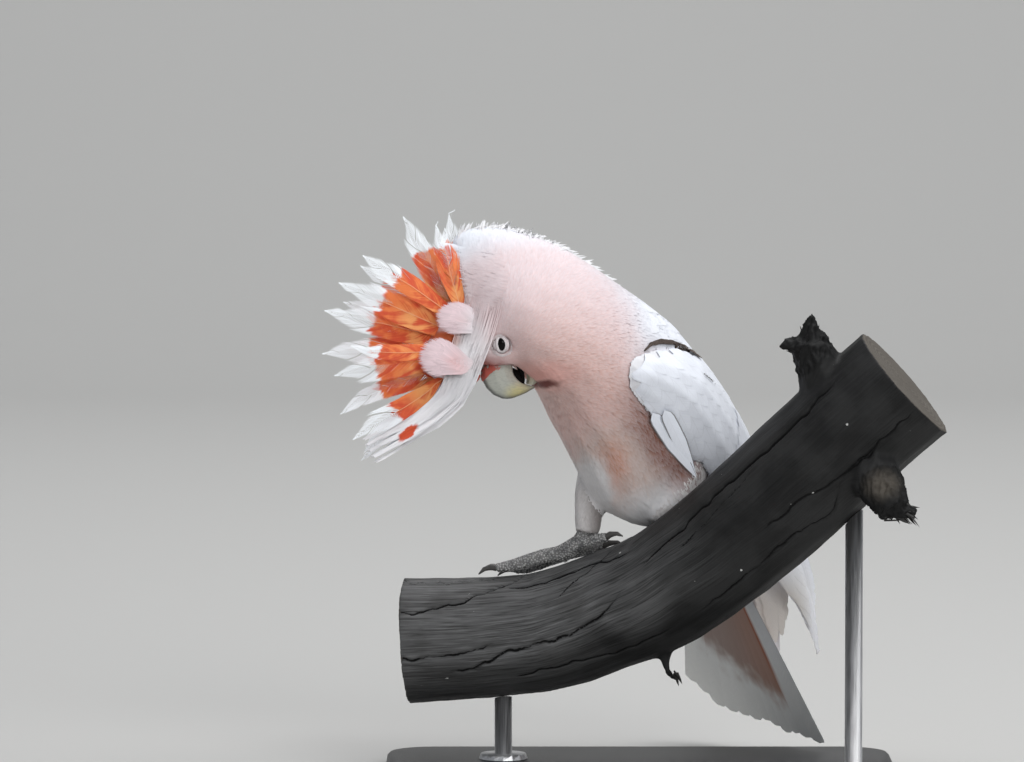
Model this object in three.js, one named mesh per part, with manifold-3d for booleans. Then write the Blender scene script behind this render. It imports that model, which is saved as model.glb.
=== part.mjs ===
// A pink cockatoo, life size, bowing on a cut length of branch with its crest spread, on a display stand.
// Millimetres, +Z up. The origin is the centre of the underside of the stand's base.
// The bird faces -X and turns a little towards -Y. +Y is the far side of the branch, where the tail hangs.
import * as THREE from "three";
import { mergeVertices } from "three/addons/utils/BufferGeometryUtils.js";
import Module from "manifold-3d";

const wasm = await Module();
wasm.setup();

// ---------------------------------------------------------------- driving dimensions
const GAP = 0.3; // clearance between neighbouring solids
const CUT_GROWTH = 0.35; // how far the faces of a solid are moved out before it is cut from its neighbour
const deg = THREE.MathUtils.degToRad;

const HEAD_YAW = deg(12); // turn of the head from the X axis
const BODY_YAW = deg(38); // turn of the trunk, wings and tail
const HEAD_X = -80; // the head has its full turn up to here
const TRUNK_X = -15; // the trunk has its full turn from here on
const TRUNK_Y = 0; // depth of the midline at TRUNK_X

const PITCH_OF_HEAD = deg(260); // direction of the bill's front in the bird's midline plane, from +X towards +Z
const HEAD_CENTRE = [-74, 257];

const PERCH_RADIUS = 36;
const BASE = { length: 290, width: 144, height: 7, corner: 26, bevel: 1.5 };
const ROD = { radius: 5, flangeRadius: 14, flangeHeight: 3, sides: 16 };

// ---------------------------------------------------------------- bird space
// The bird is drawn in (x, side, z): x and z lie in its midline plane and side points to its left.
// place() bends that plane, so that the neck turns between the head and the trunk.
const headSlope = Math.tan(HEAD_YAW);
const bodySlope = Math.tan(BODY_YAW);
const turnSpan = TRUNK_X - HEAD_X;

function midlineSlope(x) {
  const t = THREE.MathUtils.clamp((x - HEAD_X) / turnSpan, 0, 1);
  return headSlope + (bodySlope - headSlope) * t * t * (3 - 2 * t);
}

function midlineY(x) {
  if (x >= TRUNK_X) return TRUNK_Y + bodySlope * (x - TRUNK_X);
  const t = Math.max(0, (x - HEAD_X) / turnSpan);
  const turned = (bodySlope - headSlope) * turnSpan * (0.5 - t ** 3 + t ** 4 / 2);
  return TRUNK_Y - headSlope * (TRUNK_X - x) - turned;
}

function place(x, side, z) {
  const yaw = Math.atan(midlineSlope(x));
  return new THREE.Vector3(x + side * Math.sin(yaw), midlineY(x) - side * Math.cos(yaw), z);
}

// ---------------------------------------------------------------- solids
function loft(rings) {
  const count = rings[0].length;
  const points = rings.flat();
  const triangles = [];
  for (let r = 0; r + 1 < rings.length; r++)
    for (let i = 0; i < count; i++) {
      const a = r * count + i;
      const b = r * count + ((i + 1) % count);
      triangles.push(a, b, a + count, b, b + count, a + count);
    }
  for (const [r, flip] of [[0, true], [rings.length - 1, false]]) {
    const centre = points.length;
    points.push(rings[r].reduce((sum, p) => sum.add(p), new THREE.Vector3()).divideScalar(count));
    for (let i = 0; i < count; i++) {
      const a = r * count + i;
      const b = r * count + ((i + 1) % count);
      triangles.push(...(flip ? [centre, b, a] : [centre, a, b]));
    }
  }
  const geometry = new THREE.BufferGeometry().setFromPoints(points);
  geometry.setIndex(triangles);
  return geometry;
}

// A closed geometry as a manifold-3d solid, turned the right way out if its faces point inwards.
function solid(geometry) {
  const bare = geometry.clone();
  for (const name of Object.keys(bare.attributes)) if (name !== "position") bare.deleteAttribute(name);
  const merged = mergeVertices(bare, 1e-4);
  const vertProperties = merged.attributes.position.array;
  const triVerts = new Uint32Array(merged.index.array);
  const make = () => new wasm.Manifold(new wasm.Mesh({ numProp: 3, vertProperties, triVerts }));
  const made = make();
  if (made.volume() > 0) return made;
  for (let i = 0; i < triVerts.length; i += 3)
    [triVerts[i + 1], triVerts[i + 2]] = [triVerts[i + 2], triVerts[i + 1]];
  return make();
}

function geometryOf(made) {
  const mesh = made.getMesh();
  const geometry = new THREE.BufferGeometry();
  geometry.setAttribute("position", new THREE.Float32BufferAttribute(mesh.vertProperties, 3));
  geometry.setIndex(new THREE.BufferAttribute(mesh.triVerts, 1));
  geometry.computeVertexNormals();
  return geometry;
}

// The solid with every corner moved out, far enough that each face moves out by the growth, to leave clearance
// where it cuts another.
function swollen(made, growth = CUT_GROWTH) {
  const geometry = geometryOf(made);
  const { position, normal } = geometry.attributes;
  const index = geometry.index.array;
  const corner = (array, i) => new THREE.Vector3().fromBufferAttribute(array, i);
  const leastCosine = new Float32Array(position.count).fill(1);
  for (let i = 0; i < index.length; i += 3) {
    const [a, b, c] = [0, 1, 2].map((k) => corner(position, index[i + k]));
    const face = b.sub(a).cross(c.sub(a)).normalize();
    for (let k = 0; k < 3; k++) {
      const v = index[i + k];
      leastCosine[v] = Math.min(leastCosine[v], corner(normal, v).dot(face));
    }
  }
  for (let i = 0; i < position.count; i++) {
    const moved = corner(position, i).addScaledVector(corner(normal, i), growth / Math.max(leastCosine[i], 0.5));
    position.setXYZ(i, moved.x, moved.y, moved.z);
  }
  return solid(geometry);
}

const largest = (made) => made.decompose().reduce((a, b) => (a.volume() > b.volume() ? a : b));
const join = (...all) => all.reduce((a, b) => a.add(b));
const clear = (made, ...neighbours) =>
  largest(neighbours.reduce((a, b) => a.subtract(swollen(b)).subtract(b), made)).simplify(0.04);

// The side of a plane that normal points to, as a block large enough for the whole bird.
function halfSpace(point, normal, offset = 0) {
  const size = 900;
  const block = new THREE.BoxGeometry(size, size, size).toNonIndexed();
  block.translate(0, 0, size / 2 + offset);
  block.applyQuaternion(
    new THREE.Quaternion().setFromUnitVectors(new THREE.Vector3(0, 0, 1), normal.clone().normalize()),
  );
  block.translate(point.x, point.y, point.z);
  return solid(block);
}

// Samples lists of numbers at even steps on one smooth curve, so that a few stations make many rings.
function smooth(stations, steps) {
  const width = stations[0].length;
  const curves = [];
  for (let c = 0; c < width; c += 3)
    curves.push(
      new THREE.CatmullRomCurve3(
        stations.map((s) => new THREE.Vector3(s[c], s[c + 1] ?? 0, s[c + 2] ?? 0)),
        false,
        "catmullrom",
        0.5,
      ),
    );
  return Array.from({ length: steps + 1 }, (_, i) =>
    curves.flatMap((curve) => curve.getPoint(i / steps).toArray()).slice(0, width),
  );
}

// A tube of changing radius through points, in the model's own space.
function tube(points, radii, steps, sides, squash = 1) {
  const curve = new THREE.CatmullRomCurve3(points, false, "centripetal");
  const frames = curve.computeFrenetFrames(steps, false);
  const rings = [];
  for (let i = 0; i <= steps; i++) {
    const t = i / steps;
    const at = t * (radii.length - 1);
    const low = Math.min(Math.floor(at), radii.length - 2);
    const radius = THREE.MathUtils.lerp(radii[low], radii[low + 1], at - low);
    const centre = curve.getPoint(t);
    rings.push(
      Array.from({ length: sides }, (_, k) => {
        const a = (2 * Math.PI * k) / sides;
        return centre
          .clone()
          .addScaledVector(frames.normals[i], radius * Math.cos(a) * squash)
          .addScaledVector(frames.binormals[i], radius * Math.sin(a));
      }),
    );
  }
  return solid(loft(rings));
}

// A body part drawn by stations [dorsal x, z, half-width, ventral x, z, taper]; taper narrows the dorsal side.
function bodyPart(stations, steps, sides) {
  return solid(
    loft(
      smooth(stations, steps).map(([dx, dz, halfWidth, vx, vz, taper]) =>
        Array.from({ length: sides }, (_, k) => {
          const a = (2 * Math.PI * k) / sides;
          const v = Math.cos(a);
          const side = halfWidth * Math.sin(a) * (1 - taper * v);
          return place(((1 + v) * dx + (1 - v) * vx) / 2, side, ((1 + v) * dz + (1 - v) * vz) / 2);
        }),
      ),
    ),
  );
}

// ---------------------------------------------------------------- head, neck and trunk
// dorsal x, z, half-width, ventral x, z, dorsal taper
const BODY_STATIONS = [
  [-107, 307, 4, -103, 284, 0],
  [-101, 313, 13, -96, 260, 0.3],
  [-84, 316, 25, -79, 243, 0.45],
  [-63, 311, 32, -62, 226, 0.45],
  [-40, 300.5, 36, -50, 214, 0.35],
  [-21, 286, 38, -43, 199, 0.2],
  [1, 269.5, 38, -35, 184, 0.1],
  [23, 248, 36, -28, 167, 0.05],
  [32, 219, 34, -18, 152, 0],
  [38, 189, 29, -2, 142, 0],
  [46, 170, 22, 18, 137, 0],
  [52, 153, 13, 36, 132, 0],
];
const HEAD_STATIONS = [
  [-89, 235, 9, -66, 237, 0],
  [-95, 238, 16, -60, 240, 0],
  [-101, 246, 20.5, -56, 247, 0],
  [-103, 257, 23.5, -53, 256, 0],
  [-102, 272, 24, -52, 270, 0],
  [-98, 287, 19, -54, 286, 0],
  [-90, 297, 8, -64, 297, 0],
];
const neckAndTrunk = bodyPart(BODY_STATIONS, 17, 15);
const headMass = bodyPart(HEAD_STATIONS, 9, 14);
const flesh = join(neckAndTrunk, headMass);

const inMidline = (dx, dz, x) => {
  const yaw = Math.atan(midlineSlope(x));
  return new THREE.Vector3(dx * Math.cos(yaw), dx * Math.sin(yaw), dz);
};
const headCut = { point: place(-56, 0, 260), normal: inMidline(1, 0.12, -56) };
const neckCut = { point: place(-22, 0, 232), normal: inMidline(0.8, -0.6, -22) };
const behind = (cut) => halfSpace(cut.point, cut.normal, GAP / 2);
const before = (cut) => halfSpace(cut.point, cut.normal.clone().negate(), GAP / 2);

// ---------------------------------------------------------------- bill, tongue and eyes
// culmen x, z, half-width, cutting edge x, z, taper
const UPPER_BILL = [
  [-88, 241, 7.5, -72, 248, 0.1],
  [-91, 232.5, 8, -73, 240, 0.15],
  [-88.5, 225, 7.5, -72.5, 234, 0.2],
  [-83.5, 219.5, 6.2, -71, 229, 0.25],
  [-77, 217, 4.6, -69.5, 225, 0.25],
  [-70.5, 217.4, 2.6, -67.3, 222.4, 0.2],
  [-64.8, 220.2, 0.5, -64.2, 221.2, 0],
];
const LOWER_BILL = [
  [-66, 241, 5, -56, 237, 0],
  [-65, 234, 5.4, -57, 231, 0],
  [-64.6, 229, 5, -58.5, 227, 0],
  [-65, 225.6, 3.4, -61.4, 224.6, 0],
];
const upperBill = bodyPart(UPPER_BILL, 8, 10);
const lowerBill = clear(bodyPart(LOWER_BILL, 5, 8), upperBill);
const TONGUE = [
  [-71.5, 241, 3, -67.5, 240, 0],
  [-70.4, 234.5, 3, -66.4, 233.5, 0],
  [-68.6, 229.5, 2.4, -65.6, 228.8, 0],
  [-67.2, 226.6, 1.1, -65.8, 226.2, 0],
];
const tongue = clear(bodyPart(TONGUE, 4, 6), upperBill, lowerBill);

const EYE = { x: -82.6, z: 250, side: 17.2, radius: 5.4 };
function eyeball(sign) {
  const ball = new THREE.SphereGeometry(EYE.radius, 10, 7).toNonIndexed();
  const centre = place(EYE.x, sign * EYE.side, EYE.z);
  ball.translate(centre.x, centre.y, centre.z);
  return solid(ball);
}
const eyes = { eye_left: eyeball(1), eye_right: eyeball(-1) };

// ---------------------------------------------------------------- crest
// The feathers fan out from one centre over the crown, in groups with gaps between them.
// Each lies in a half-plane of its own that turns about the head's long axis, so that no two meet.
// Angles are from straight up off the crown; minus is towards the nape.
const CREST = {
  centre: [12, 20], // along the head's long axis from HEAD_CENTRE, and up from it
  rootSpread: 7,
  width: 17,
  thickness: 0.9,
  turn: deg(1.7),
  order: 7,
};
// the angles a group spreads between, and how far each of its feathers reaches from the centre
const CREST_GROUPS = [
  { from: -70, to: -54, reaches: [77, 68, 74, 82] },
  { from: -32, to: 8, reaches: [83, 76, 85, 75, 86, 75] },
  { from: 15, to: 26, reaches: [84, 83] },
  { from: 38, to: 45, reaches: [83, 87] },
  { from: 55, to: 55, reaches: [90] },
];
const headForward = [Math.cos(PITCH_OF_HEAD), Math.sin(PITCH_OF_HEAD)];
const headUp = [Math.sin(PITCH_OF_HEAD), -Math.cos(PITCH_OF_HEAD)];
const CREST_FEATHERS = CREST_GROUPS.flatMap(({ from, to, reaches }) =>
  reaches.map((reach, i) => ({ angle: deg(THREE.MathUtils.lerp(from, to, i / Math.max(1, reaches.length - 1))), reach })),
);

function crestFeather({ angle, reach }, index) {
  const centre = new THREE.Vector2(...CREST.centre);
  const along = new THREE.Vector2(Math.sin(angle), Math.cos(angle));
  const across = new THREE.Vector2(-along.y, along.x);
  const root = centre.clone().add(new THREE.Vector2(CREST.rootSpread * Math.sin(angle), 0));
  const length = centre.clone().addScaledVector(along, reach).distanceTo(root);
  const at = (s, w) => root.clone().addScaledVector(along, s * length).addScaledVector(across, w).toArray();
  const half = CREST.width / 2;
  const outline = new THREE.Shape();
  outline.moveTo(...at(0, -4));
  outline.bezierCurveTo(...at(0.35, -0.9 * half), ...at(0.85, -1.75 * half), ...at(1, 0));
  outline.bezierCurveTo(...at(0.85, 1.75 * half), ...at(0.35, 0.9 * half), ...at(0, 4));
  outline.closePath();
  const plate = new THREE.ExtrudeGeometry(outline, {
    depth: CREST.thickness,
    bevelEnabled: false,
    curveSegments: 4,
  });
  const count = CREST_FEATHERS.length + 1;
  const turn = CREST.turn * (((index * CREST.order) % count) - (count - 1) / 2);
  const position = plate.attributes.position;
  for (let i = 0; i < position.count; i++) {
    const forward = position.getX(i);
    const up = position.getY(i) * Math.cos(turn);
    const side = position.getY(i) * Math.sin(turn) + position.getZ(i) - CREST.thickness / 2;
    const p = onHead(forward, up, side);
    position.setXYZ(i, p.x, p.y, p.z);
  }
  return solid(plate);
}

const onHead = (forward, up, side) =>
  place(
    HEAD_CENTRE[0] + forward * headForward[0] + up * headUp[0],
    side,
    HEAD_CENTRE[1] + forward * headForward[1] + up * headUp[1],
  );

// The short feathers in front of and around the long ones: distance forward, height, half-width.
const CREST_COVERTS = [
  [-13, 31, 4],
  [-5, 40, 8],
  [6, 42, 9],
  [16, 45, 9.5],
  [26, 48, 9],
  [32, 43, 6.5],
  [36, 35, 3],
];
const CREST_PLUME = { root: [24, 17], middle: [52, 39], tip: [80, 58], radii: [9.5, 9, 5, 1.2], flatness: 0.55 };

function crestCoverts() {
  const sides = 10;
  const floor = 15;
  const rings = smooth(CREST_COVERTS, 6).map(([forward, up, halfWidth]) =>
    Array.from({ length: sides }, (_, k) => {
      const a = (2 * Math.PI * k) / sides;
      return onHead(forward, (up + floor) / 2 + ((up - floor) / 2) * Math.cos(a), halfWidth * Math.sin(a));
    }),
  );
  return solid(loft(rings));
}

function crestPlume() {
  const { root, middle, tip, radii, flatness } = CREST_PLUME;
  const curve = new THREE.QuadraticBezierCurve3(...[root, middle, tip].map(([f, u]) => new THREE.Vector3(f, u, 0)));
  const steps = 5;
  const sides = 8;
  const rings = Array.from({ length: steps + 1 }, (_, i) => {
    const t = i / steps;
    const at = t * (radii.length - 1);
    const low = Math.min(Math.floor(at), radii.length - 2);
    const radius = THREE.MathUtils.lerp(radii[low], radii[low + 1], at - low);
    const centre = curve.getPoint(t);
    const along = curve.getTangent(t);
    return Array.from({ length: sides }, (_, k) => {
      const a = (2 * Math.PI * k) / sides;
      const w = radius * Math.cos(a);
      return onHead(centre.x - along.y * w, centre.y + along.x * w, flatness * radius * Math.sin(a));
    });
  });
  return solid(loft(rings));
}

// ---------------------------------------------------------------- wings
// dorsal x, z, dorsal side, ventral x, z, ventral side, middle side, thickness
const WING_STATIONS = [
  [-28, 245, 27, -34, 238, 28, 32, 4],
  [-15, 250, 25, -32, 223, 33, 39, 11],
  [14, 245, 20, -17, 204, 33, 41, 13],
  [34, 226, 15, -2, 186, 31, 38, 12],
  [53, 198, 11, 14, 168, 26, 31, 10],
  [68, 164, 9, 36, 146, 20, 23, 8],
  [84, 129, 8, 63, 115, 14, 16, 6],
  [98, 92, 6, 88, 84, 10, 10, 3.5],
  [104, 61, 5, 101, 57, 6, 6, 1.6],
];
const RIGHT_TIP_SHIFT = 16; // how much further forward the tip of the right wing hangs
function wing(sign) {
  const half = 7;
  const rings = smooth(WING_STATIONS, 14).map(([dx, dz, dSide, vx, vz, vSide, middle, thickness], i) => {
    const shift = sign < 0 ? -RIGHT_TIP_SHIFT * (i / 14) ** 2 : 0;
    const point = (v, outer) => {
      const bow = middle + ((dSide - vSide) / 2) * v + ((dSide + vSide) / 2 - middle) * v * v;
      const side = bow + (outer * thickness * Math.sqrt(Math.max(0, 1 - v * v))) / 2;
      return place(((1 + v) * dx + (1 - v) * vx) / 2 + shift, sign * side, ((1 + v) * dz + (1 - v) * vz) / 2);
    };
    const rim = Array.from({ length: half + 1 }, (_, k) => Math.cos((Math.PI * k) / half));
    return [...rim.map((v) => point(v, 1)), ...rim.slice(1, -1).reverse().map((v) => point(v, -1))];
  });
  return solid(loft(rings));
}

// ---------------------------------------------------------------- tail
// A fan of twelve feathers, drawn as one plate with a scalloped end, under a flat cone of coverts.
const TAIL = {
  root: place(33, 0, 147.5),
  yaw: deg(36),
  drop: deg(62), // below the horizontal
  roll: deg(12), // lowers the left side
  count: 12,
  spread: deg(43.6),
  width: 22, // of one feather
  length: 147.5,
  rightExtra: 7, // how much longer the feathers are between the middle and the right side
  scallop: 2.5,
  thickness: 2,
  roof: 0.02, // how far the sides sag below the middle, for each unit of length
};
const bodyBack = new THREE.Vector3(Math.cos(TAIL.yaw), Math.sin(TAIL.yaw), 0);
const bodyLeft = new THREE.Vector3(Math.sin(TAIL.yaw), -Math.cos(TAIL.yaw), 0);
const down = new THREE.Vector3(0, 0, -1);
const mixed = (a, wa, b, wb) => a.clone().multiplyScalar(wa).addScaledVector(b, wb);
const tailAcross = mixed(bodyLeft, Math.cos(TAIL.roll), down, Math.sin(TAIL.roll));
const rolledDown = mixed(down, Math.cos(TAIL.roll), bodyLeft, -Math.sin(TAIL.roll));
const tailAlong = mixed(bodyBack, Math.cos(TAIL.drop), rolledDown, Math.sin(TAIL.drop));
const tailBack = mixed(bodyBack, Math.sin(TAIL.drop), rolledDown, -Math.cos(TAIL.drop));

function tailFan() {
  const rows = 4;
  const columns = 2 * TAIL.count;
  const rings = Array.from({ length: columns + 1 }, (_, j) => {
    const t = j / columns - 0.5;
    const angle = TAIL.spread * t;
    const length = TAIL.length + TAIL.rightExtra * Math.max(0, -Math.sin(2 * Math.PI * t)) - (j % 2 ? 0 : TAIL.scallop);
    const sheet = (outer) =>
      Array.from({ length: rows + 1 }, (_, i) => {
        const s = (i / rows) * length;
        const halfRoot = (TAIL.width / 2) * Math.min(1, 0.35 + s / 90);
        return TAIL.root
          .clone()
          .addScaledVector(tailAlong, s * Math.cos(angle))
          .addScaledVector(tailAcross, s * Math.sin(angle) + 2 * t * halfRoot)
          .addScaledVector(tailBack, (outer * TAIL.thickness) / 2 - TAIL.roof * s * Math.abs(t) * 2);
      });
    return [...sheet(1), ...sheet(-1).reverse()];
  });
  return solid(loft(rings));
}

// along the tail, half-width, half-height
const TAIL_COVERTS = [
  [-12, 12, 9],
  [14, 17, 8],
  [40, 20, 5.5],
  [66, 19, 2],
];
function tailCoverts() {
  const sides = 10;
  const rings = smooth(TAIL_COVERTS, 5).map(([s, w, h]) =>
    Array.from({ length: sides }, (_, k) => {
      const a = (2 * Math.PI * k) / sides;
      return TAIL.root
        .clone()
        .addScaledVector(tailAlong, s)
        .addScaledVector(tailAcross, w * Math.cos(a))
        .addScaledVector(tailBack, h * Math.sin(a) - 1);
    }),
  );
  return solid(loft(rings));
}

// ---------------------------------------------------------------- perch
// x, y, z and radius factor along the middle of the branch
const PERCH_STATIONS = [
  [-134, 22, 74, 1.02],
  [-91, 18, 76, 0.99],
  [-51, 11, 81, 0.97],
  [-17, 1, 93, 0.97],
  [11, -12, 105.5, 0.98],
  [39, -25, 126.5, 1.0],
  [67, -35, 151.5, 1.02],
  [95, -42, 179, 1.03],
  [123, -47, 206.5, 1.02],
  [148, -51, 228.5, 1.03],
];
const perchCurve = new THREE.CatmullRomCurve3(
  PERCH_STATIONS.map(([x, y, z]) => new THREE.Vector3(x, y, z)),
  false,
  "catmullrom",
  0.5,
);

function perchRadius(t, a) {
  const at = t * (PERCH_STATIONS.length - 1);
  const low = Math.min(Math.floor(at), PERCH_STATIONS.length - 2);
  const factor = THREE.MathUtils.lerp(PERCH_STATIONS[low][3], PERCH_STATIONS[low + 1][3], at - low);
  const swell = 0.018 * Math.sin(3 * a + 5 * t) + 0.012 * Math.sin(5 * a - 9 * t);
  return PERCH_RADIUS * factor * (1 + swell);
}

// Directions at a point of the branch: along it, up out of it, and to its far side.
function perchFrame(t) {
  const along = perchCurve.getTangent(t);
  const far = new THREE.Vector3(0, 0, 1).cross(along).normalize();
  const up = along.clone().cross(far).normalize();
  return { along, far, up, centre: perchCurve.getPoint(t) };
}

// A point at a height over the bark; angle turns from the top towards the far side.
function onPerch(x, angle, height) {
  let low = 0;
  let high = 1;
  for (let i = 0; i < 30; i++) {
    const middle = (low + high) / 2;
    if (perchCurve.getPoint(middle).x < x) low = middle;
    else high = middle;
  }
  const { centre, up, far } = perchFrame(low);
  const reach = perchRadius(low, deg(angle)) + height;
  return centre.addScaledVector(up, reach * Math.cos(deg(angle))).addScaledVector(far, reach * Math.sin(deg(angle)));
}

function perch() {
  const steps = 15;
  const sides = 16;
  const rings = Array.from({ length: steps + 1 }, (_, i) => {
    const t = i / steps;
    const { centre, up, far } = perchFrame(t);
    return Array.from({ length: sides }, (_, k) => {
      const a = (2 * Math.PI * k) / sides;
      const radius = perchRadius(t, a);
      return centre
        .clone()
        .addScaledVector(up, radius * Math.cos(a))
        .addScaledVector(far, radius * Math.sin(a));
    });
  });
  const v = (x, y, z) => new THREE.Vector3(x, y, z);
  const upperStub = tube([v(110, -46, 209), v(101, -52, 234), v(93, -56, 253)], [19, 15, 11], 3, 8);
  const upperHorn = tube([v(96, -54, 248), v(94.5, -57, 259), v(95.5, -58, 268)], [9, 6, 1.4], 3, 7);
  const lowerHorn = tube([v(94, -54, 247), v(83, -57, 250.5), v(77, -58, 248)], [7.5, 5, 1.2], 3, 7);
  const twig = tube([v(15, -10, 72), v(15, -12, 60), v(21, -13, 55.5)], [4, 2.6, 1], 3, 6);
  const knot = tube([v(128, -66, 180), v(136, -80, 168), v(141, -86, 158)], [17, 13.5, 10], 3, 8);
  const knotTip = tube([v(139, -83, 162), v(147, -86, 157), v(154, -87, 159)], [8, 5, 1.4], 3, 7);
  return join(solid(loft(rings)), upperStub, upperHorn, lowerHorn, knot, knotTip, twig);
}

// ---------------------------------------------------------------- legs and feet
// Toes are paths over the bark: x, angle round the branch, height of the toe's middle.
const FEET = {
  right: {
    ankle: place(-21, -15, 137),
    knee: place(-17, -17, 158),
    hip: place(-6, -18, 182),
    thighRadii: [7, 8.5, 12, 16],
    pad: [-34, 9, 5.5],
    toes: [
      [[-34, 9, 6], [-48, 3, 7.5], [-64, -2, 5.5], [-78, -3, 4.6]],
      [[-34, 9, 6], [-47, 19, 6.5], [-60, 24, 5], [-70, 26, 4.4]],
      [[-34, 9, 6], [-20, 2, 7], [-5, -4, 4.8]],
      [[-34, 9, 6], [-24, 16, 5.5], [-14, 19, 4.4]],
    ],
  },
  left: {
    ankle: place(3, 16, 144),
    knee: place(6, 17, 159),
    hip: place(14, 16, 182),
    thighRadii: [10, 14, 17, 18],
    pad: [15, 38, 5.5],
    toes: [
      [[15, 38, 6], [3, 33, 6.5], [-6, 32, 5], [-11, 32, 4.6]],
      [[15, 38, 6], [5, 50, 6], [-5, 56, 5], [-12, 57, 4.4]],
      [[15, 38, 6], [26, 31, 6.5], [36, 30, 4.6]],
      [[15, 38, 6], [23, 46, 5.5], [30, 50, 4.2]],
    ],
  },
};
const TOE_RADII = [5, 4.3, 4, 3.6, 2.6];
const CLAW = { length: 11, radius: 2.3, drop: 3.2 };

const toePoints = (toe) => toe.map(([x, angle, height]) => onPerch(x, angle, height));

const shank = ({ ankle, knee, pad }) => tube([knee, ankle, onPerch(...pad)], [5, 4.6, 5.4], 3, 7);
const toes = ({ toes }) => toes.map((toe) => tube(toePoints(toe), TOE_RADII, 4, 6));

function claw(toe) {
  const [x, angle, height] = toe.at(-1);
  const [fromX, fromAngle] = toe.at(-2);
  const step = (x - fromX) / Math.hypot(x - fromX, (angle - fromAngle) * 0.6);
  const ahead = (distance, lift) => onPerch(x + step * distance, angle, lift);
  return tube(
    [ahead(-1.5, height), ahead(CLAW.length * 0.5, height + 0.6), ahead(CLAW.length, height - CLAW.drop)],
    [CLAW.radius, CLAW.radius * 0.8, 0.4],
    3,
    6,
  );
}

const thigh = ({ ankle, knee, hip, thighRadii }) => tube([ankle, knee, hip], thighRadii, 4, 10);

// ---------------------------------------------------------------- stand
function standBase() {
  const x = BASE.length / 2 - BASE.bevel;
  const y = BASE.width / 2 - BASE.bevel;
  const r = BASE.corner;
  const outline = new THREE.Shape();
  outline.moveTo(-x + r, -y);
  outline.lineTo(x - r, -y).absarc(x - r, -y + r, r, -Math.PI / 2, 0);
  outline.lineTo(x, y - r).absarc(x - r, y - r, r, 0, Math.PI / 2);
  outline.lineTo(-x + r, y).absarc(-x + r, y - r, r, Math.PI / 2, Math.PI);
  outline.lineTo(-x, -y + r).absarc(-x + r, -y + r, r, Math.PI, 1.5 * Math.PI);
  const board = new THREE.ExtrudeGeometry(outline, {
    depth: BASE.height - 2 * BASE.bevel,
    bevelThickness: BASE.bevel,
    bevelSize: BASE.bevel,
    bevelSegments: 1,
    curveSegments: 4,
  });
  board.translate(0, 0, BASE.bevel);
  return solid(board);
}

function standRod(x, branch) {
  const { centre } = perchFrame(THREE.MathUtils.inverseLerp(-134, 148, x));
  const foot = BASE.height + GAP;
  const flange = new THREE.CylinderGeometry(ROD.flangeRadius - 1, ROD.flangeRadius, ROD.flangeHeight, ROD.sides);
  flange.rotateX(Math.PI / 2).translate(x, centre.y, foot + ROD.flangeHeight / 2);
  const height = centre.z - foot;
  const shaft = new THREE.CylinderGeometry(ROD.radius, ROD.radius, height, ROD.sides);
  shaft.rotateX(Math.PI / 2).translate(x, centre.y, foot + height / 2);
  return clear(join(solid(flange.toNonIndexed()), solid(shaft.toNonIndexed())), branch);
}

// ---------------------------------------------------------------- the model
const model = new THREE.Group();
model.name = "cockatoo_on_perch";

function finish(colour, roughness, metalness = 0) {
  return new THREE.MeshStandardMaterial({ color: colour, roughness, metalness });
}
const plumagePink = finish("#e8bfb6", 0.9);
const plumageWhite = finish("#f2eef0", 0.85);
const crestOrange = finish("#f0673a", 0.85);
const horn = finish("#d9d8c4", 0.4);
const dark = finish("#17130f", 0.15);
const footGrey = finish("#7d7a76", 0.75);
const clawGrey = finish("#5d5953", 0.45);
const charredWood = finish("#3a3a3c", 0.8);
const standBoard = finish("#54514c", 0.5);
const steel = finish("#b8babd", 0.3, 1);

function add(name, made, material) {
  const mesh = new THREE.Mesh(geometryOf(made), material);
  mesh.name = name;
  model.add(mesh);
  return made;
}

const branch = add("perch_branch", perch(), charredWood);
const legs = Object.entries(FEET).map(([side, parts]) => ({
  side,
  thigh: thigh(parts),
  foot: [shank(parts), ...toes(parts)],
  claws: parts.toes.map(claw),
}));
const thighs = legs.map((leg) => leg.thigh);
const feet = legs.flatMap((leg) => [...leg.foot, ...leg.claws]);

add("bill_upper", upperBill, horn);
add("bill_lower", lowerBill, horn);
add("tongue", tongue, dark);
for (const [name, ball] of Object.entries(eyes)) add(name, ball, dark);

const face = [upperBill, lowerBill, tongue, ...Object.values(eyes)];
add("head", clear(flesh.intersect(before(headCut)), ...face), plumagePink);
add("neck", largest(flesh.intersect(behind(headCut)).intersect(before(neckCut))), plumagePink);
add("trunk", clear(flesh.intersect(behind(neckCut)), branch, ...feet), plumagePink);

const coverts = add("crest_coverts", clear(crestCoverts(), headMass, neckAndTrunk, upperBill), plumagePink);
const plume = add("crest_plume", clear(crestPlume(), headMass, neckAndTrunk, coverts, upperBill), plumageWhite);
CREST_FEATHERS.forEach((feather, i) => {
  const name = `crest_feather_${String(i + 1).padStart(2, "0")}`;
  add(name, clear(crestFeather(feather, i), headMass, neckAndTrunk, coverts, plume), crestOrange);
});

const tail = add("tail", clear(join(tailCoverts(), tailFan()), neckAndTrunk, branch), plumageWhite);
for (const [side, sign] of [["left", 1], ["right", -1]])
  add(`wing_${side}`, clear(wing(sign), neckAndTrunk, tail, ...thighs, ...feet, branch), plumageWhite);

for (const { side, thigh, foot, claws } of legs) {
  add(`thigh_${side}`, clear(thigh, neckAndTrunk, ...foot, ...claws, branch), plumageWhite);
  add(`foot_${side}`, clear(join(...foot), branch), footGrey);
  claws.forEach((made, i) => add(`claw_${side}_${i + 1}`, clear(made, ...foot, branch), clawGrey));
}

add("stand_base", standBase(), standBoard);
add("stand_rod_left", standRod(-78, branch), steel);
add("stand_rod_right", standRod(120, branch), steel);

export default model;
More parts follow.
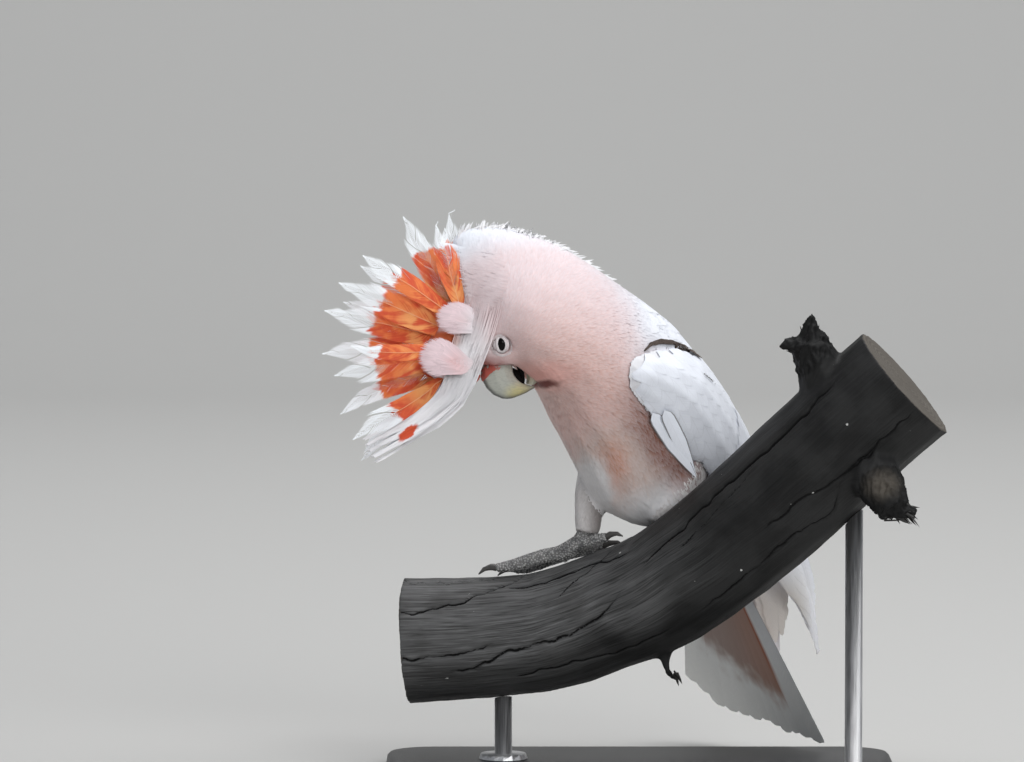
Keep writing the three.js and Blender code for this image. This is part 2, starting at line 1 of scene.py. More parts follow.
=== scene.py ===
# %% [markdown]
# # A pink cockatoo bowing on a dead branch
# The CAD part gives every form its place and size. This script dresses those forms:
# one skin with thousands of small solid feather blades, long feathers built barb by barb,
# a cracked and charred branch, and a plain display stand.
# Everything is in metres and stays where the CAD nodes are.

# %% The frame
import math

import bpy
import numpy as np
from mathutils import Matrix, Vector, kdtree, noise
from mathutils.bvhtree import BVHTree


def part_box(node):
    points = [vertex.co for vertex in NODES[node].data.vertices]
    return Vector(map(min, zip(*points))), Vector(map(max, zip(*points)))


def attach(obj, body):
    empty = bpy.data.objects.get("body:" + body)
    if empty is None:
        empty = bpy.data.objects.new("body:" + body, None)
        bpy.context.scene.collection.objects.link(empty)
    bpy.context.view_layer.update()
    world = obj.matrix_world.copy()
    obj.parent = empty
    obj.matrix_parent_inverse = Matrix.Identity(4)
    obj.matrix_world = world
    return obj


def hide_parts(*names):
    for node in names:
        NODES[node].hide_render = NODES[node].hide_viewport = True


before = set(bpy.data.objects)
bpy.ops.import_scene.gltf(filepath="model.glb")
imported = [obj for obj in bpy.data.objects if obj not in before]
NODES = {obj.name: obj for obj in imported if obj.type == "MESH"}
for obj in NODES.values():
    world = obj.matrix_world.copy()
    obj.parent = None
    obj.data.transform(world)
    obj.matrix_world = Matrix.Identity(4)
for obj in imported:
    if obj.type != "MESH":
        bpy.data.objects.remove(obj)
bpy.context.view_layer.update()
MM = 0.001

# %% [markdown]
# ## The camera
# A long lens from four metres away, a little above the bird, flattens the view as a bird
# watcher's lens does. The aim point is written once, in millimetres, so that the framing
# can be read and moved easily. Nothing is blurred, so the lens has no depth of field.

# %% The camera
AIM = Vector((-73, 0, 225.2)) * MM
DISTANCE, ELEVATION = 4.0, math.radians(4)
VIEW_WIDTH = 0.5837
bpy.ops.object.camera_add(
    location=AIM + DISTANCE * Vector((0, -math.cos(ELEVATION), math.sin(ELEVATION))),
    rotation=(math.pi / 2 - ELEVATION, 0, 0),
)
camera = bpy.context.object
camera.data.sensor_width = 36
camera.data.lens = 36 * DISTANCE / VIEW_WIDTH
bpy.context.scene.camera = camera
print("lens:", round(camera.data.lens), "mm, camera height:", round(camera.location.z, 3), "m")

# %% [markdown]
# ## Floor and light
# The floor is a plain pale sheet that curves up behind the stand, so no horizon cuts the
# view. A wide soft lamp overhead plays the part of an overcast sky, a weaker one in front
# opens the shadows, and the world adds a little even light from everywhere else.

# %% Floor and light
def select(*objects):
    """Makes these the only selected objects, the first of them active."""
    bpy.ops.object.select_all(action="DESELECT")
    for o in objects:
        o.select_set(True)
    bpy.context.view_layer.objects.active = objects[0]


def new_material(name, base, roughness, **sockets):
    """A Principled material; sockets are named as on the shader, with _ for each space."""
    material = bpy.data.materials.new(name)
    material.use_nodes = True
    shader = material.node_tree.nodes["Principled BSDF"]
    shader.inputs["Base Color"].default_value = (*base, 1)
    shader.inputs["Roughness"].default_value = roughness
    for socket, value in sockets.items():
        shader.inputs[socket.replace("_", " ")].default_value = value
    material.diffuse_color = (*base, 1)
    return material


def select_where(o, kind, wanted):
    """Opens a mesh in edit mode with only those vertices or edges selected that are wanted."""
    select(o)
    bpy.ops.object.mode_set(mode="EDIT")
    bpy.ops.mesh.select_all(action="DESELECT")
    bpy.ops.object.mode_set(mode="OBJECT")
    for element in getattr(o.data, kind):
        element.select = wanted(element)
    bpy.ops.object.mode_set(mode="EDIT")


def at_the_back(edge):
    """True for the floor's far edge."""
    return all(floor.data.vertices[v].co.y > BACKDROP_Y - 0.01 for v in edge.vertices)


FLOOR_HALF, BACKDROP_Y = 5.0, 3.0
CURVE_STEPS, CURVE_REACH, WALL_HEIGHT = 8, 0.25, 4
bpy.ops.object.select_all(action="DESELECT")
bpy.ops.mesh.primitive_plane_add(size=2 * FLOOR_HALF, location=(0, BACKDROP_Y - FLOOR_HALF, 0))
floor = bpy.context.object
floor.name = "floor"
bpy.ops.object.transform_apply(location=True)
select_where(floor, "edges", at_the_back)
for step in range(CURVE_STEPS):
    turn = (step + 1) / CURVE_STEPS * math.pi / 2
    bpy.ops.mesh.extrude_region_move(
        TRANSFORM_OT_translate={"value": (0, CURVE_REACH * math.cos(turn), CURVE_REACH * math.sin(turn))}
    )
bpy.ops.mesh.extrude_region_move(TRANSFORM_OT_translate={"value": (0, 0, WALL_HEIGHT)})
bpy.ops.object.mode_set(mode="OBJECT")
bpy.ops.object.shade_smooth()
floor.data.materials.append(new_material("floor_paper", (0.55, 0.545, 0.53), 0.9))


def soft_lamp(name, place, aim, size, power):
    """A round area lamp that looks at a place."""
    bpy.ops.object.light_add(type="AREA", location=place)
    lamp = bpy.context.object
    lamp.name = name
    lamp.data.shape = "DISK"
    lamp.data.size, lamp.data.energy = size, power
    lamp.rotation_euler = (Vector(aim) - Vector(place)).to_track_quat("-Z", "Y").to_euler()


soft_lamp("sky_lamp", (0.45, -0.25, 2.4), (0, 0, 0.2), 2.4, 43)
soft_lamp("front_lamp", (1.3, -2.8, 1.5), (0, 0, 0.2), 1.8, 36)
soft_lamp("backdrop_lamp", (0, 2.0, 2.8), (0, 3.6, 0), 2.4, 34)
world = bpy.data.worlds.new("studio")
bpy.context.scene.world = world
world.use_nodes = True
world.node_tree.nodes["Background"].inputs["Color"].default_value = (0.80, 0.84, 0.90, 1)
world.node_tree.nodes["Background"].inputs["Strength"].default_value = 0.34
bpy.context.scene.view_settings.view_transform = "Standard"
print("floor, three lamps and an even world light")

# %% [markdown]
# ## Landmarks of the bird
# All feather directions start from a few landmarks: the base of the bill, the eyes, the
# middle of the neck and trunk, and the root of the tail. They are read from the CAD
# nodes' boxes, so the coat would follow if the CAD model changed.

# %% Landmarks
def middle(node):
    """The middle of a CAD node's box."""
    low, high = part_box(node)
    return np.array((low + high) / 2)


def unit(v):
    """Vectors brought to length 1."""
    return v / np.maximum(np.linalg.norm(v, axis=-1, keepdims=True), 1e-12)


def smoothstep(low, high, x):
    """0 below low, 1 above high, with a soft start and end between them."""
    t = np.clip((x - low) / (high - low), 0, 1)
    return t * t * (3 - 2 * t)


EYE_LEFT, EYE_RIGHT = middle("eye_left"), middle("eye_right")
HEAD_MIDDLE = (EYE_LEFT + EYE_RIGHT) / 2
HEAD_SIDE = unit(EYE_LEFT - EYE_RIGHT)
BILL_BASE = middle("bill_upper")
BILL_BASE[2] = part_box("bill_upper")[1].z - 2 * MM
TAIL_TOP = middle("tail")
TAIL_TOP[2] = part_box("tail")[1].z
TRUNK_LOW = middle("trunk")
TRUNK_LOW[2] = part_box("trunk")[0].z
CREST_CENTRE = HEAD_MIDDLE + np.array((-13.2, -2.8, -1.3)) * MM
SPINE = [middle("head"), middle("neck"), middle("trunk"), (TRUNK_LOW + TAIL_TOP) / 2, middle("tail")]


def mirrored(points):
    """Points mirrored in the plane between the two eyes."""
    return points - 2 * ((points - HEAD_MIDDLE) @ HEAD_SIDE)[..., None] * HEAD_SIDE


for label, point in (("bill", BILL_BASE), ("eye", EYE_LEFT), ("tail", TAIL_TOP), ("crest", CREST_CENTRE)):
    print(label, [round(1000 * x, 1) for x in point])

# %% [markdown]
# ## The way the feathers lie
# On the face the feathers radiate from the bill. On the body they run from the head to the
# tail. The guide below walks along the spine landmarks and lets the nearest stretches vote,
# then blends into the radial pattern near the bill. Legs have their own downward lie.

# %% The lie of the coat
def lie_of_coat(points, normals):
    """The unit direction, along the surface, in which a feather at each point lies."""
    spine = np.array(SPINE)
    shares = np.linspace(0, 1, 8)[:, None]
    steps = np.concatenate([a + (b - a) * shares for a, b in zip(spine[:-1], spine[1:])])
    along = unit(np.gradient(steps, axis=0))
    weight = 1 / (((points[:, None] - steps[None]) ** 2).sum(-1) ** 2 + 1e-12)
    body = unit((weight[..., None] * along[None]).sum(1))
    from_bill = points - BILL_BASE
    face = unit(from_bill)
    share = smoothstep(50 * MM, 105 * MM, np.linalg.norm(from_bill, axis=1))[:, None]
    flow = face * (1 - share) + body * share
    flow -= (flow * normals).sum(1, keepdims=True) * normals
    return unit(flow)


print("spine guide of", len(SPINE), "landmarks")

# %% [markdown]
# ## The skin
# The head, neck, trunk, thighs and the mound under the crest are one continuous body, so
# their CAD solids are copied and joined. Swelling them by a third of a millimetre closes
# the thin cuts between them, a voxel remesh makes one even surface, and smoothing removes
# the last seams. Then the skin sinks by the depth of the coat, which is thin on the face
# and thicker on the body, so that the feathers' tips reach the CAD outline again.

# %% Skin
def modify(o, kind, **settings):
    """Adds one modifier with these settings and applies it."""
    select(o)
    modifier = o.modifiers.new(kind.lower(), kind)
    for key, value in settings.items():
        setattr(modifier, key, value)
    bpy.ops.object.modifier_apply(modifier=modifier.name)


def even_form(o, voxel, rounds, swell=0.0):
    """Remeshes a closed form to even faces, smooths it, and shades it smooth."""
    if swell:
        modify(o, "DISPLACE", strength=swell, mid_level=0)
    modify(o, "REMESH", mode="VOXEL", voxel_size=voxel)
    modify(o, "SMOOTH", factor=0.5, iterations=rounds)
    bpy.ops.object.shade_smooth()


def in_edit_mode(o, operator, **settings):
    """Runs one edit-mode operator on all of an object's mesh."""
    select(o)
    bpy.ops.object.mode_set(mode="EDIT")
    bpy.ops.mesh.select_all(action="SELECT")
    operator(**settings)
    bpy.ops.object.mode_set(mode="OBJECT")


def unwrap(o, margin):
    """Gives a form its own baking map."""
    in_edit_mode(o, bpy.ops.uv.smart_project, angle_limit=math.radians(66), island_margin=margin)
    o.data.uv_layers[0].name = "OFBake"


def smooth_partly(o, weights, rounds):
    """Smooths a mesh by a weight for each of its points."""
    group = o.vertex_groups.new(name="ease")
    for i, weight in enumerate(weights):
        group.add([i], weight, "REPLACE")
    modify(o, "SMOOTH", factor=0.5, iterations=rounds, vertex_group="ease")


def new_object(name, mesh):
    """Puts a mesh into the scene."""
    o = bpy.data.objects.new(name, mesh)
    bpy.context.collection.objects.link(o)
    return o


def store(mesh, label, values):
    """Keeps one number, or one vector, for each point of a mesh."""
    values = np.ascontiguousarray(values, dtype=np.float32)
    kind, field = ("FLOAT", "value") if values.ndim == 1 else ("FLOAT_VECTOR", "vector")
    mesh.attributes.new(label, kind, "POINT").data.foreach_set(field, values.ravel())


def point_tree(points):
    """A search tree over points."""
    tree = kdtree.KDTree(len(points))
    for i, p in enumerate(points):
        tree.insert(p, i)
    tree.balance()
    return tree


def points_of(o):
    """A mesh's points as an array (n, 3)."""
    co = np.empty(len(o.data.vertices) * 3)
    o.data.vertices.foreach_get("co", co)
    return co.reshape(-1, 3)


def normals_of(o):
    """The unit normals at a mesh's points."""
    n = np.empty(len(o.data.vertices) * 3)
    o.data.vertex_normals.foreach_get("vector", n)
    return n.reshape(-1, 3)


def move_points(o, co):
    """Puts a mesh's points at new places."""
    o.data.vertices.foreach_set("co", co.ravel())
    o.data.update()


def copy_of(name, *nodes):
    """One new object made of clean copies of CAD nodes, with doubled points merged."""
    copies = [new_object(name, NODES[node].data.copy()) for node in nodes]
    for o in copies:
        o.data.materials.clear()
    select(*copies)
    if len(copies) > 1:
        bpy.ops.object.join()
    o = bpy.context.object
    o.name = o.data.name = name
    in_edit_mode(o, bpy.ops.mesh.remove_doubles, threshold=1e-6)
    return o


def coat_depth(points):
    """How far the skin lies under the feathers' tips."""
    far = np.linalg.norm(points - BILL_BASE, axis=1)
    return (0.4 + 0.45 * smoothstep(15 * MM, 90 * MM, far)) * MM


FLESH = ("head", "neck", "trunk", "crest_coverts", "thigh_left", "thigh_right")
skin = copy_of("skin", *FLESH)
even_form(skin, 1.5 * MM, 12, swell=0.35 * MM)
co = points_of(skin) / MM
# the head and neck, where the CAD solids meet at the flattest angles, are smoothed most
ease = smoothstep(-97, -84, co[:, 0]) * smoothstep(20, -5, co[:, 0]) * smoothstep(198, 214, co[:, 2])
smooth_partly(skin, ease, 45)
move_points(skin, points_of(skin) - normals_of(skin) * coat_depth(points_of(skin))[:, None])
unwrap(skin, 0.004)
print("skin:", len(skin.data.polygons), "faces")

# %% [markdown]
# ## Tools for materials
# Materials are built from nodes, as in the shader editor, and a node takes several lines of
# code. These small functions each place one node, or a few, and give back its output, so
# that a finish can be written as a short chain: a mask, then the tint it lays on.

# %% Node helpers
def new_group(name, inputs, outputs):
    """A shader node group with named inputs and outputs: returns it with its two end nodes."""
    tree = bpy.data.node_groups.new(name, "ShaderNodeTree")
    for label, kind, default in inputs:
        socket = tree.interface.new_socket(label, in_out="INPUT", socket_type=kind)
        socket.default_value = default
    for label, kind in outputs:
        tree.interface.new_socket(label, in_out="OUTPUT", socket_type=kind)
    return tree, tree.nodes.new("NodeGroupInput"), tree.nodes.new("NodeGroupOutput")


def feed(tree, socket, value):
    """Links a socket to another one, or sets it to a plain value."""
    if isinstance(value, bpy.types.NodeSocket):
        tree.links.new(value, socket)
    else:
        socket.default_value = value


def math_node(tree, operation, *values, kind="ShaderNodeMath"):
    """A math node whose values are sockets or plain ones."""
    node = tree.nodes.new(kind)
    node.operation = operation
    for socket, value in zip(node.inputs, values):
        feed(tree, socket, value)
    return node


def times(tree, a, b):
    """The product of two values."""
    return math_node(tree, "MULTIPLY", a, b).outputs[0]


def plus(tree, a, b):
    """The sum of two values."""
    return math_node(tree, "ADD", a, b).outputs[0]


def minus(tree, a, b):
    """The first value less the second."""
    return math_node(tree, "SUBTRACT", a, b).outputs[0]


def size_of(tree, a):
    """A value without its sign."""
    return math_node(tree, "ABSOLUTE", a).outputs[0]


def ramp_of(tree, value, low, high, out_low=0.0, out_high=1.0):
    """A smooth step of a value from low to high."""
    node = tree.nodes.new("ShaderNodeMapRange")
    node.interpolation_type = "SMOOTHSTEP"
    feed(tree, node.inputs["Value"], value)
    numbers = {"From Min": low, "From Max": high, "To Min": out_low, "To Max": out_high}
    for socket, number in numbers.items():
        node.inputs[socket].default_value = number
    return node.outputs["Result"]


def mix_of(tree, share, a, b):
    """The colour b laid over a by a share; colours are sockets or (r, g, b)."""
    node = tree.nodes.new("ShaderNodeMix")
    node.data_type = "RGBA"
    feed(tree, node.inputs[0], share)
    feed(tree, node.inputs[6], (*a, 1) if isinstance(a, tuple) else a)
    feed(tree, node.inputs[7], (*b, 1) if isinstance(b, tuple) else b)
    return node.outputs[2]


def placed(tree, position, centre, radii, turn=0.0):
    """The position as seen from a centre, turned in side view and measured in radii."""
    node = tree.nodes.new("ShaderNodeMapping")
    node.vector_type = "TEXTURE"
    tree.links.new(position, node.inputs["Vector"])
    node.inputs["Location"].default_value = tuple(x * MM for x in centre)
    node.inputs["Rotation"].default_value = (0, math.radians(-turn), 0)
    node.inputs["Scale"].default_value = tuple(x * MM for x in radii)
    return node.outputs["Vector"]


def stretched(tree, position, scale):
    """The position with its directions scaled, so that noise made with it turns to streaks."""
    node = tree.nodes.new("ShaderNodeMapping")
    tree.links.new(position, node.inputs["Vector"])
    node.inputs["Scale"].default_value = scale
    return node.outputs["Vector"]


def length_of(tree, vector):
    """How long a vector is."""
    return math_node(tree, "LENGTH", vector, kind="ShaderNodeVectorMath").outputs["Value"]


def patch(tree, position, centre, radii, soft, turn=0.0):
    """A mask that is 1 inside an ellipsoid and fades out over a soft rim."""
    return ramp_of(tree, length_of(tree, placed(tree, position, centre, radii, turn)), 1 + soft, 1 - soft)


def noise_of(tree, position, size, detail=2.0, output="Fac"):
    """Soft noise whose lumps are about this many millimetres across."""
    node = tree.nodes.new("ShaderNodeTexNoise")
    tree.links.new(position, node.inputs["Vector"])
    node.inputs["Scale"].default_value = 1 / (size * MM)
    node.inputs["Detail"].default_value = detail
    return node.outputs[output]


def object_position(tree):
    """The place on the object, in its own coordinates."""
    return tree.nodes.new("ShaderNodeTexCoord").outputs["Object"]


def read_attribute(tree, name, output="Fac"):
    """A number, or with the output "Vector" a vector, that was stored for each point."""
    node = tree.nodes.new("ShaderNodeAttribute")
    node.attribute_name = name
    return node.outputs[output]


def jittered(tree, position, size, reach):
    """The position moved about by noise, so that a patch made with it has a broken rim."""
    kind = "ShaderNodeVectorMath"
    cloud = noise_of(tree, position, size, output="Color")
    centred = math_node(tree, "SUBTRACT", cloud, (0.5, 0.5, 0.5), kind=kind).outputs[0]
    span = (2 * reach * MM,) * 3
    return math_node(tree, "MULTIPLY_ADD", centred, span, position, kind=kind).outputs[0]


def toned(tree, colour, tone, amount):
    """The colour made lighter or darker by an amount for each unit of tone."""
    factor = math_node(tree, "MULTIPLY_ADD", tone, amount, 1.0).outputs[0]
    scaled = math_node(tree, "SCALE", colour, kind="ShaderNodeVectorMath")
    tree.links.new(factor, scaled.inputs["Scale"])
    return scaled.outputs[0]


print("node helpers ready")

# %% [markdown]
# ## The markings
# One node group holds the bird's colours, for the skin and for every feather, so that no bare patch shows
# between them. It reads Object coordinates: soft ellipses, long enough in the bird's width to serve both
# sides, mark the pink face, the salmon breast and the red lores. They also lay painted shade into the crease
# behind the bill, onto the flank under the wing, whose salmon turns orange there, and into the hollow behind
# it, which turns deep brown. Two inputs vary from blade to blade: `Tone`, a small random lightness, and
# `Along`, which pales each blade towards its tip.

# %% The plumage colours
WHITE = (0.86, 0.885, 0.95)
PALE_PINK = (0.835, 0.67, 0.68)
SALMON = (0.78, 0.50, 0.44)
BELLY = (0.64, 0.49, 0.43)
LORES_RED = (0.52, 0.10, 0.07)
WIDE = 400
BODY_MARKS = [  # centre and radii in mm, softness of the rim, turn in degrees, tint
    ((-64, 0, 252), (60, WIDE, 56), 0.18, 0, PALE_PINK),
    ((-32, 0, 214), (38, WIDE, 56), 0.6, 30, SALMON),
    ((-12, 0, 170), (30, WIDE, 32), 0.4, 0, BELLY),
    ((6, 0, 150), (26, WIDE, 13), 0.75, 30, (0.93, 0.91, 0.91)),
    # painted shade under the wing: the flank darkened to orange, then the hollow behind it to deep brown
    ((-16, 0, 179), (9, WIDE, 14), 0.8, 0, (0.62, 0.30, 0.20)),
    ((16, 0, 189), (13, WIDE, 36), 0.65, 36, (0.24, 0.075, 0.035)),
    ((-97, 0, 254), (8, WIDE, 22), 0.9, 12, (0.86, 0.78, 0.79)),
    ((-28, 0, 158), (13, WIDE, 26), 0.3, 0, (0.72, 0.69, 0.68)),
]
FACE_MARKS = [  # the same, on the bird's left: lores, cheek, crease and the mound under the crest
    ((-87, -42, 231.5), (10, 26, 9), 0.7, 0, LORES_RED),
    ((-57, -42, 231.0), (19, 22, 8), 0.9, 10, (0.88, 0.47, 0.41)),
    # painted shade: the crease behind the bill, darkened to a deep red-brown
    ((-56.5, -42, 225.2), (10.5, 20, 2.4), 0.6, 14, (0.17, 0.02, 0.01)),
    ((-110, -42, 251.5), (9, 20, 5), 0.4, 0, (0.66, 0.16, 0.05)),
]

plumage, ends_in, ends_out = new_group(
    "plumage_pattern",
    [("Tone", "NodeSocketFloat", 0.0), ("Along", "NodeSocketFloat", 0.5)],
    [("Color", "NodeSocketColor")],
)
ragged = jittered(plumage, object_position(plumage), 9, 3.5)
colour = WHITE
for centre, radii, soft, turn, tint in BODY_MARKS:
    colour = mix_of(plumage, patch(plumage, ragged, centre, radii, soft, turn), colour, tint)
tips = ramp_of(plumage, ends_in.outputs["Along"], 0.3, 1.0, 0.0, 0.22)
colour = mix_of(plumage, tips, colour, WHITE)
for place, radii, soft, turn, tint in FACE_MARKS:
    place = np.array(place) * MM
    for centre in (place, mirrored(place)):
        mask = patch(plumage, ragged, tuple(centre / MM), radii, soft, turn)
        colour = mix_of(plumage, mask, colour, tint)
plumage.links.new(toned(plumage, colour, ends_in.outputs["Tone"], 0.05), ends_out.inputs["Color"])


def paint(material, colour, roughness=None):
    """Links a colour, and a roughness if one is given, to a material's shader."""
    shader = material.node_tree.nodes["Principled BSDF"]
    material.node_tree.links.new(colour, shader.inputs["Base Color"])
    if roughness is not None:
        material.node_tree.links.new(roughness, shader.inputs["Roughness"])
    return material


def plumage_pattern(tree):
    """The plumage group, placed in a material."""
    pattern = tree.nodes.new("ShaderNodeGroup")
    pattern.node_tree = plumage
    return pattern


def plumage_material(name, roughness, with_blades=True):
    """Plumage colours on a soft, matt shader with a little sheen."""
    material = new_material(name, PALE_PINK, roughness, Sheen_Weight=0.25, Sheen_Roughness=0.5)
    tree = material.node_tree
    pattern = plumage_pattern(tree)
    if with_blades:
        tree.links.new(read_attribute(tree, "tone"), pattern.inputs["Tone"])
        tree.links.new(read_attribute(tree, "along"), pattern.inputs["Along"])
    return paint(material, pattern.outputs["Color"])


def plain_plumage(name, root, tip, roughness=0.75, variation=0.08, shade=None, sheen=0.25):
    """Feathers of one tint that pale from root to tip, with a little chance in each blade.
    shade is a place, radii and the tint that feathers have there: painted shade on the legs, a paler blend on
    the tufts."""
    material = new_material(name, tip, roughness, Sheen_Weight=sheen, Sheen_Roughness=0.5)
    tree = material.node_tree
    colour = mix_of(tree, ramp_of(tree, read_attribute(tree, "along"), 0.0, 0.7), root, tip)
    if shade:
        place, radii, tint = shade
        colour = mix_of(tree, patch(tree, object_position(tree), place, radii, 0.7), colour, tint)
    return paint(material, toned(tree, colour, read_attribute(tree, "tone"), variation))


SKIN_FINISH = plumage_material("skin_plumage", 0.8, with_blades=False)
COAT_FINISH = plumage_material("coat_plumage", 0.75)
# painted shade down the back half of the near leg
LEG_PAINTED_SHADE = ((-21, 0, 152), (9, WIDE, 26), (0.30, 0.27, 0.26))
LEG_FINISH = plain_plumage("leg_plumage", (0.62, 0.56, 0.54), (0.80, 0.77, 0.76), shade=LEG_PAINTED_SHADE)
RUFF_FINISH = plain_plumage("ruff_plumage", (0.86, 0.80, 0.81), (0.92, 0.92, 0.94), 0.7, 0.04)
print("plumage group with", len(plumage.nodes), "nodes")

# %% [markdown]
# ## Feather blades
# Everything that is feathery here is made of one small shape: a blade, which is a thin
# closed prism that follows a short line and ends in a point. A contour tuft is one blade,
# and a long feather is a shaft blade with a row of barb blades on each side. The function
# takes arrays and builds thousands of blades as one mesh, with a roofed top, a flat
# underside, a baking map in which each blade keeps its own small patch, and two values for
# the colours. The shading normals follow the surface that the blades lie on, which gives
# the soft look of a coat instead of thousands of separate facets.

# %% Blades
UV_PATCH = 0.003


def blades(name, paths, half_widths, normals, root_uv, tone, along=None, roof=0.3, shaft=0.0, sky=None):
    """One mesh of n closed blades, each with k stations along its path.
    paths and normals are (n, k, 3), half_widths (n, k - 1) and root_uv (n, 2).
    sky tilts the shading of both faces of blades that stand up towards the light."""

    def for_points(stations):
        """Values of the stations, repeated for the three points of each ring."""
        return np.concatenate([np.repeat(stations[:, :-1], 3, axis=1), stations[:, -1:]], axis=1)

    n, k, _ = paths.shape
    travel = unit(np.gradient(paths, axis=1))
    side = unit(np.cross(normals, travel))
    up = np.cross(travel, side)
    width = half_widths[..., None]
    centre, side, up = paths[:, :-1], side[:, :-1], up[:, :-1]
    rings = np.stack([centre + side * width, centre + up * width * roof, centre - side * width], axis=2)
    per = 3 * (k - 1) + 1
    verts = np.concatenate([rings.reshape(n, per - 1, 3), paths[:, -1:]], axis=1)
    faces = [(0, 2, 1)]
    for ring in range(k - 2):
        a = 3 * ring
        for i, j in ((0, 1), (1, 2), (2, 0)):
            faces += [(a + i, a + j, a + 3 + j), (a + i, a + 3 + j, a + 3 + i)]
    a = 3 * (k - 2)
    faces += [(a, a + 1, per - 1), (a + 1, a + 2, per - 1), (a + 2, a, per - 1)]
    faces = np.array(faces)
    under_faces = ((faces % 3 != 1) | (faces == per - 1)).all(1)
    all_faces = (faces[None] + per * np.arange(n)[:, None, None]).reshape(-1, 3)
    mesh = bpy.data.meshes.new(name)
    mesh.vertices.add(n * per)
    mesh.vertices.foreach_set("co", verts.ravel())
    mesh.loops.add(all_faces.size)
    mesh.loops.foreach_set("vertex_index", all_faces.ravel().astype(np.int32))
    mesh.polygons.add(len(all_faces))
    mesh.polygons.foreach_set("loop_start", np.arange(0, all_faces.size, 3, dtype=np.int32))
    mesh.update(calc_edges=True)
    mesh.shade_smooth()
    station = np.concatenate([np.repeat(np.linspace(0, 1, k)[:-1], 3), [1.0]])
    across = np.concatenate([np.tile([-0.5, 0, 0.5], k - 1), [0.0]])
    uv = root_uv[:, None] + UV_PATCH * np.stack([across, station - 0.5], -1)[None]
    layer = mesh.uv_layers.new(name="OFBake")
    layer.uv.foreach_set("vector", uv.reshape(-1, 2)[all_faces.ravel()].astype(np.float32).ravel())
    if along is None:
        along = np.broadcast_to(np.linspace(0, 1, k), (n, k))
    store(mesh, "along", for_points(along).ravel())
    store(mesh, "tone", np.repeat(tone, per))
    store(mesh, "shaft", np.full(n * per, shaft))
    tilt = 0 if sky is None else sky
    corners = unit(for_points(normals + tilt))[:, faces]
    corners[:, under_faces] = unit(for_points(tilt - normals))[:, faces][:, under_faces]
    mesh.normals_split_custom_set(corners.reshape(-1, 3).tolist())
    return new_object(name, mesh)


print("a three-station blade has", 1 + 6 + 3, "triangles")

# %% [markdown]
# ## Scattering roots over a form
# Feather roots sit at even distances, like the follicles of a plucked bird, closer on the
# face than on the body. Random places on the form's triangles are tried in turn, and each
# one kept clears its neighbours away within the spacing wanted there. The random numbers
# are seeded, so every run grows the same coat.

# %% Roots
CLEARED = 0.86  # the share of the spacing that each root keeps free around it


def triangles_of(o):
    """A mesh's triangles as point numbers, and the baking map's places of their corners."""
    mesh = o.data
    mesh.calc_loop_triangles()
    tri = np.empty(len(mesh.loop_triangles) * 3, np.int32)
    mesh.loop_triangles.foreach_get("vertices", tri)
    loops = np.empty(len(mesh.loop_triangles) * 3, np.int32)
    mesh.loop_triangles.foreach_get("loops", loops)
    uv = None
    if mesh.uv_layers:
        uv = np.empty(len(mesh.loops) * 2, np.float32)
        mesh.uv_layers[0].uv.foreach_get("vector", uv)
        uv = uv.reshape(-1, 2)[loops].reshape(-1, 3, 2)
    return tri.reshape(-1, 3), uv


def scatter(o, spacing_of, seed):
    """Evenly spread points on a form: places, unit normals and UV places."""
    rng = np.random.default_rng(seed)
    co, vn = points_of(o), normals_of(o)
    tri, uv = triangles_of(o)
    a, b, c = co[tri[:, 0]], co[tri[:, 1]], co[tri[:, 2]]
    area = np.linalg.norm(np.cross(b - a, c - a), axis=1) / 2
    spacing = spacing_of((a + b + c) / 3)
    wanted = area / spacing**2
    tries = int(wanted.sum() * 3.0)
    pick = rng.choice(len(tri), size=tries, p=wanted / wanted.sum())
    r1, r2 = np.sqrt(rng.random(tries)), rng.random(tries)
    bary = np.stack([1 - r1, r1 * (1 - r2), r1 * r2], -1)[..., None]
    place = (co[tri[pick]] * bary).sum(1)
    normal = unit((vn[tri[pick]] * bary).sum(1))
    map_place = (uv[pick] * bary).sum(1) if uv is not None else np.zeros((tries, 2))
    radius = spacing_of(place) * CLEARED
    tree = point_tree(place)
    free = np.ones(tries, bool)
    kept = []
    for i in range(tries):
        if free[i]:
            kept.append(i)
            for _, j, _ in tree.find_range(place[i], radius[i]):
                free[j] = False
    return place[kept], normal[kept], map_place[kept]


def drape(surface, points):
    """The nearest places on a surface to these points, and the surface's normals there."""
    flat = points.reshape(-1, 3)
    place, normal = np.empty_like(flat), np.empty_like(flat)
    for i, p in enumerate(flat):
        hit, n, _, _ = surface.find_nearest(p)
        place[i], normal[i] = hit, n
    return place.reshape(points.shape), normal.reshape(points.shape)


print("scatter and drape ready")

# %% [markdown]
# ## The coat
# Each root grows one blade. It starts a little under the skin, follows the surface along
# the lie of the coat, and rises to the coat's depth at its tip, so each blade covers the
# root of the next, as real feathers do. Near the bill the blades are short and fine as
# hairs; down the body they grow longer and broader. They overlap their neighbours by half
# and differ little in height, which keeps the powdery, unbroken look of a cockatoo.

# %% Coat
class Form:
    """One or more shaped surfaces that feathers can be laid on."""

    def __init__(self, *objects):
        points, triangles, normals, first = [], [], [], 0
        for o in objects:
            co = points_of(o)
            points.append(co)
            normals.append(normals_of(o))
            triangles.append(triangles_of(o)[0] + first)
            first += len(co)
        self.tri, self.vertex_normals = np.concatenate(triangles), np.concatenate(normals)
        self.tree = BVHTree.FromPolygons(np.concatenate(points).tolist(), self.tri.tolist())

    def find_nearest(self, p):
        hit, n, index, far = self.tree.find_nearest(p)
        return hit, unit(self.vertex_normals[self.tri[index]].sum(0)), index, far


ROOT_SINK = 0.15  # how far a blade starts under the skin, as a share of the coat's depth


def size_share(points):
    """0 at the bill, where blades are smallest, to 1 on the body."""
    return smoothstep(4 * MM, 135 * MM, np.linalg.norm(points - BILL_BASE, axis=1))


def between(low, high, share):
    """Millimetres from low to high, by a share."""
    return (low + (high - low) * share) * MM


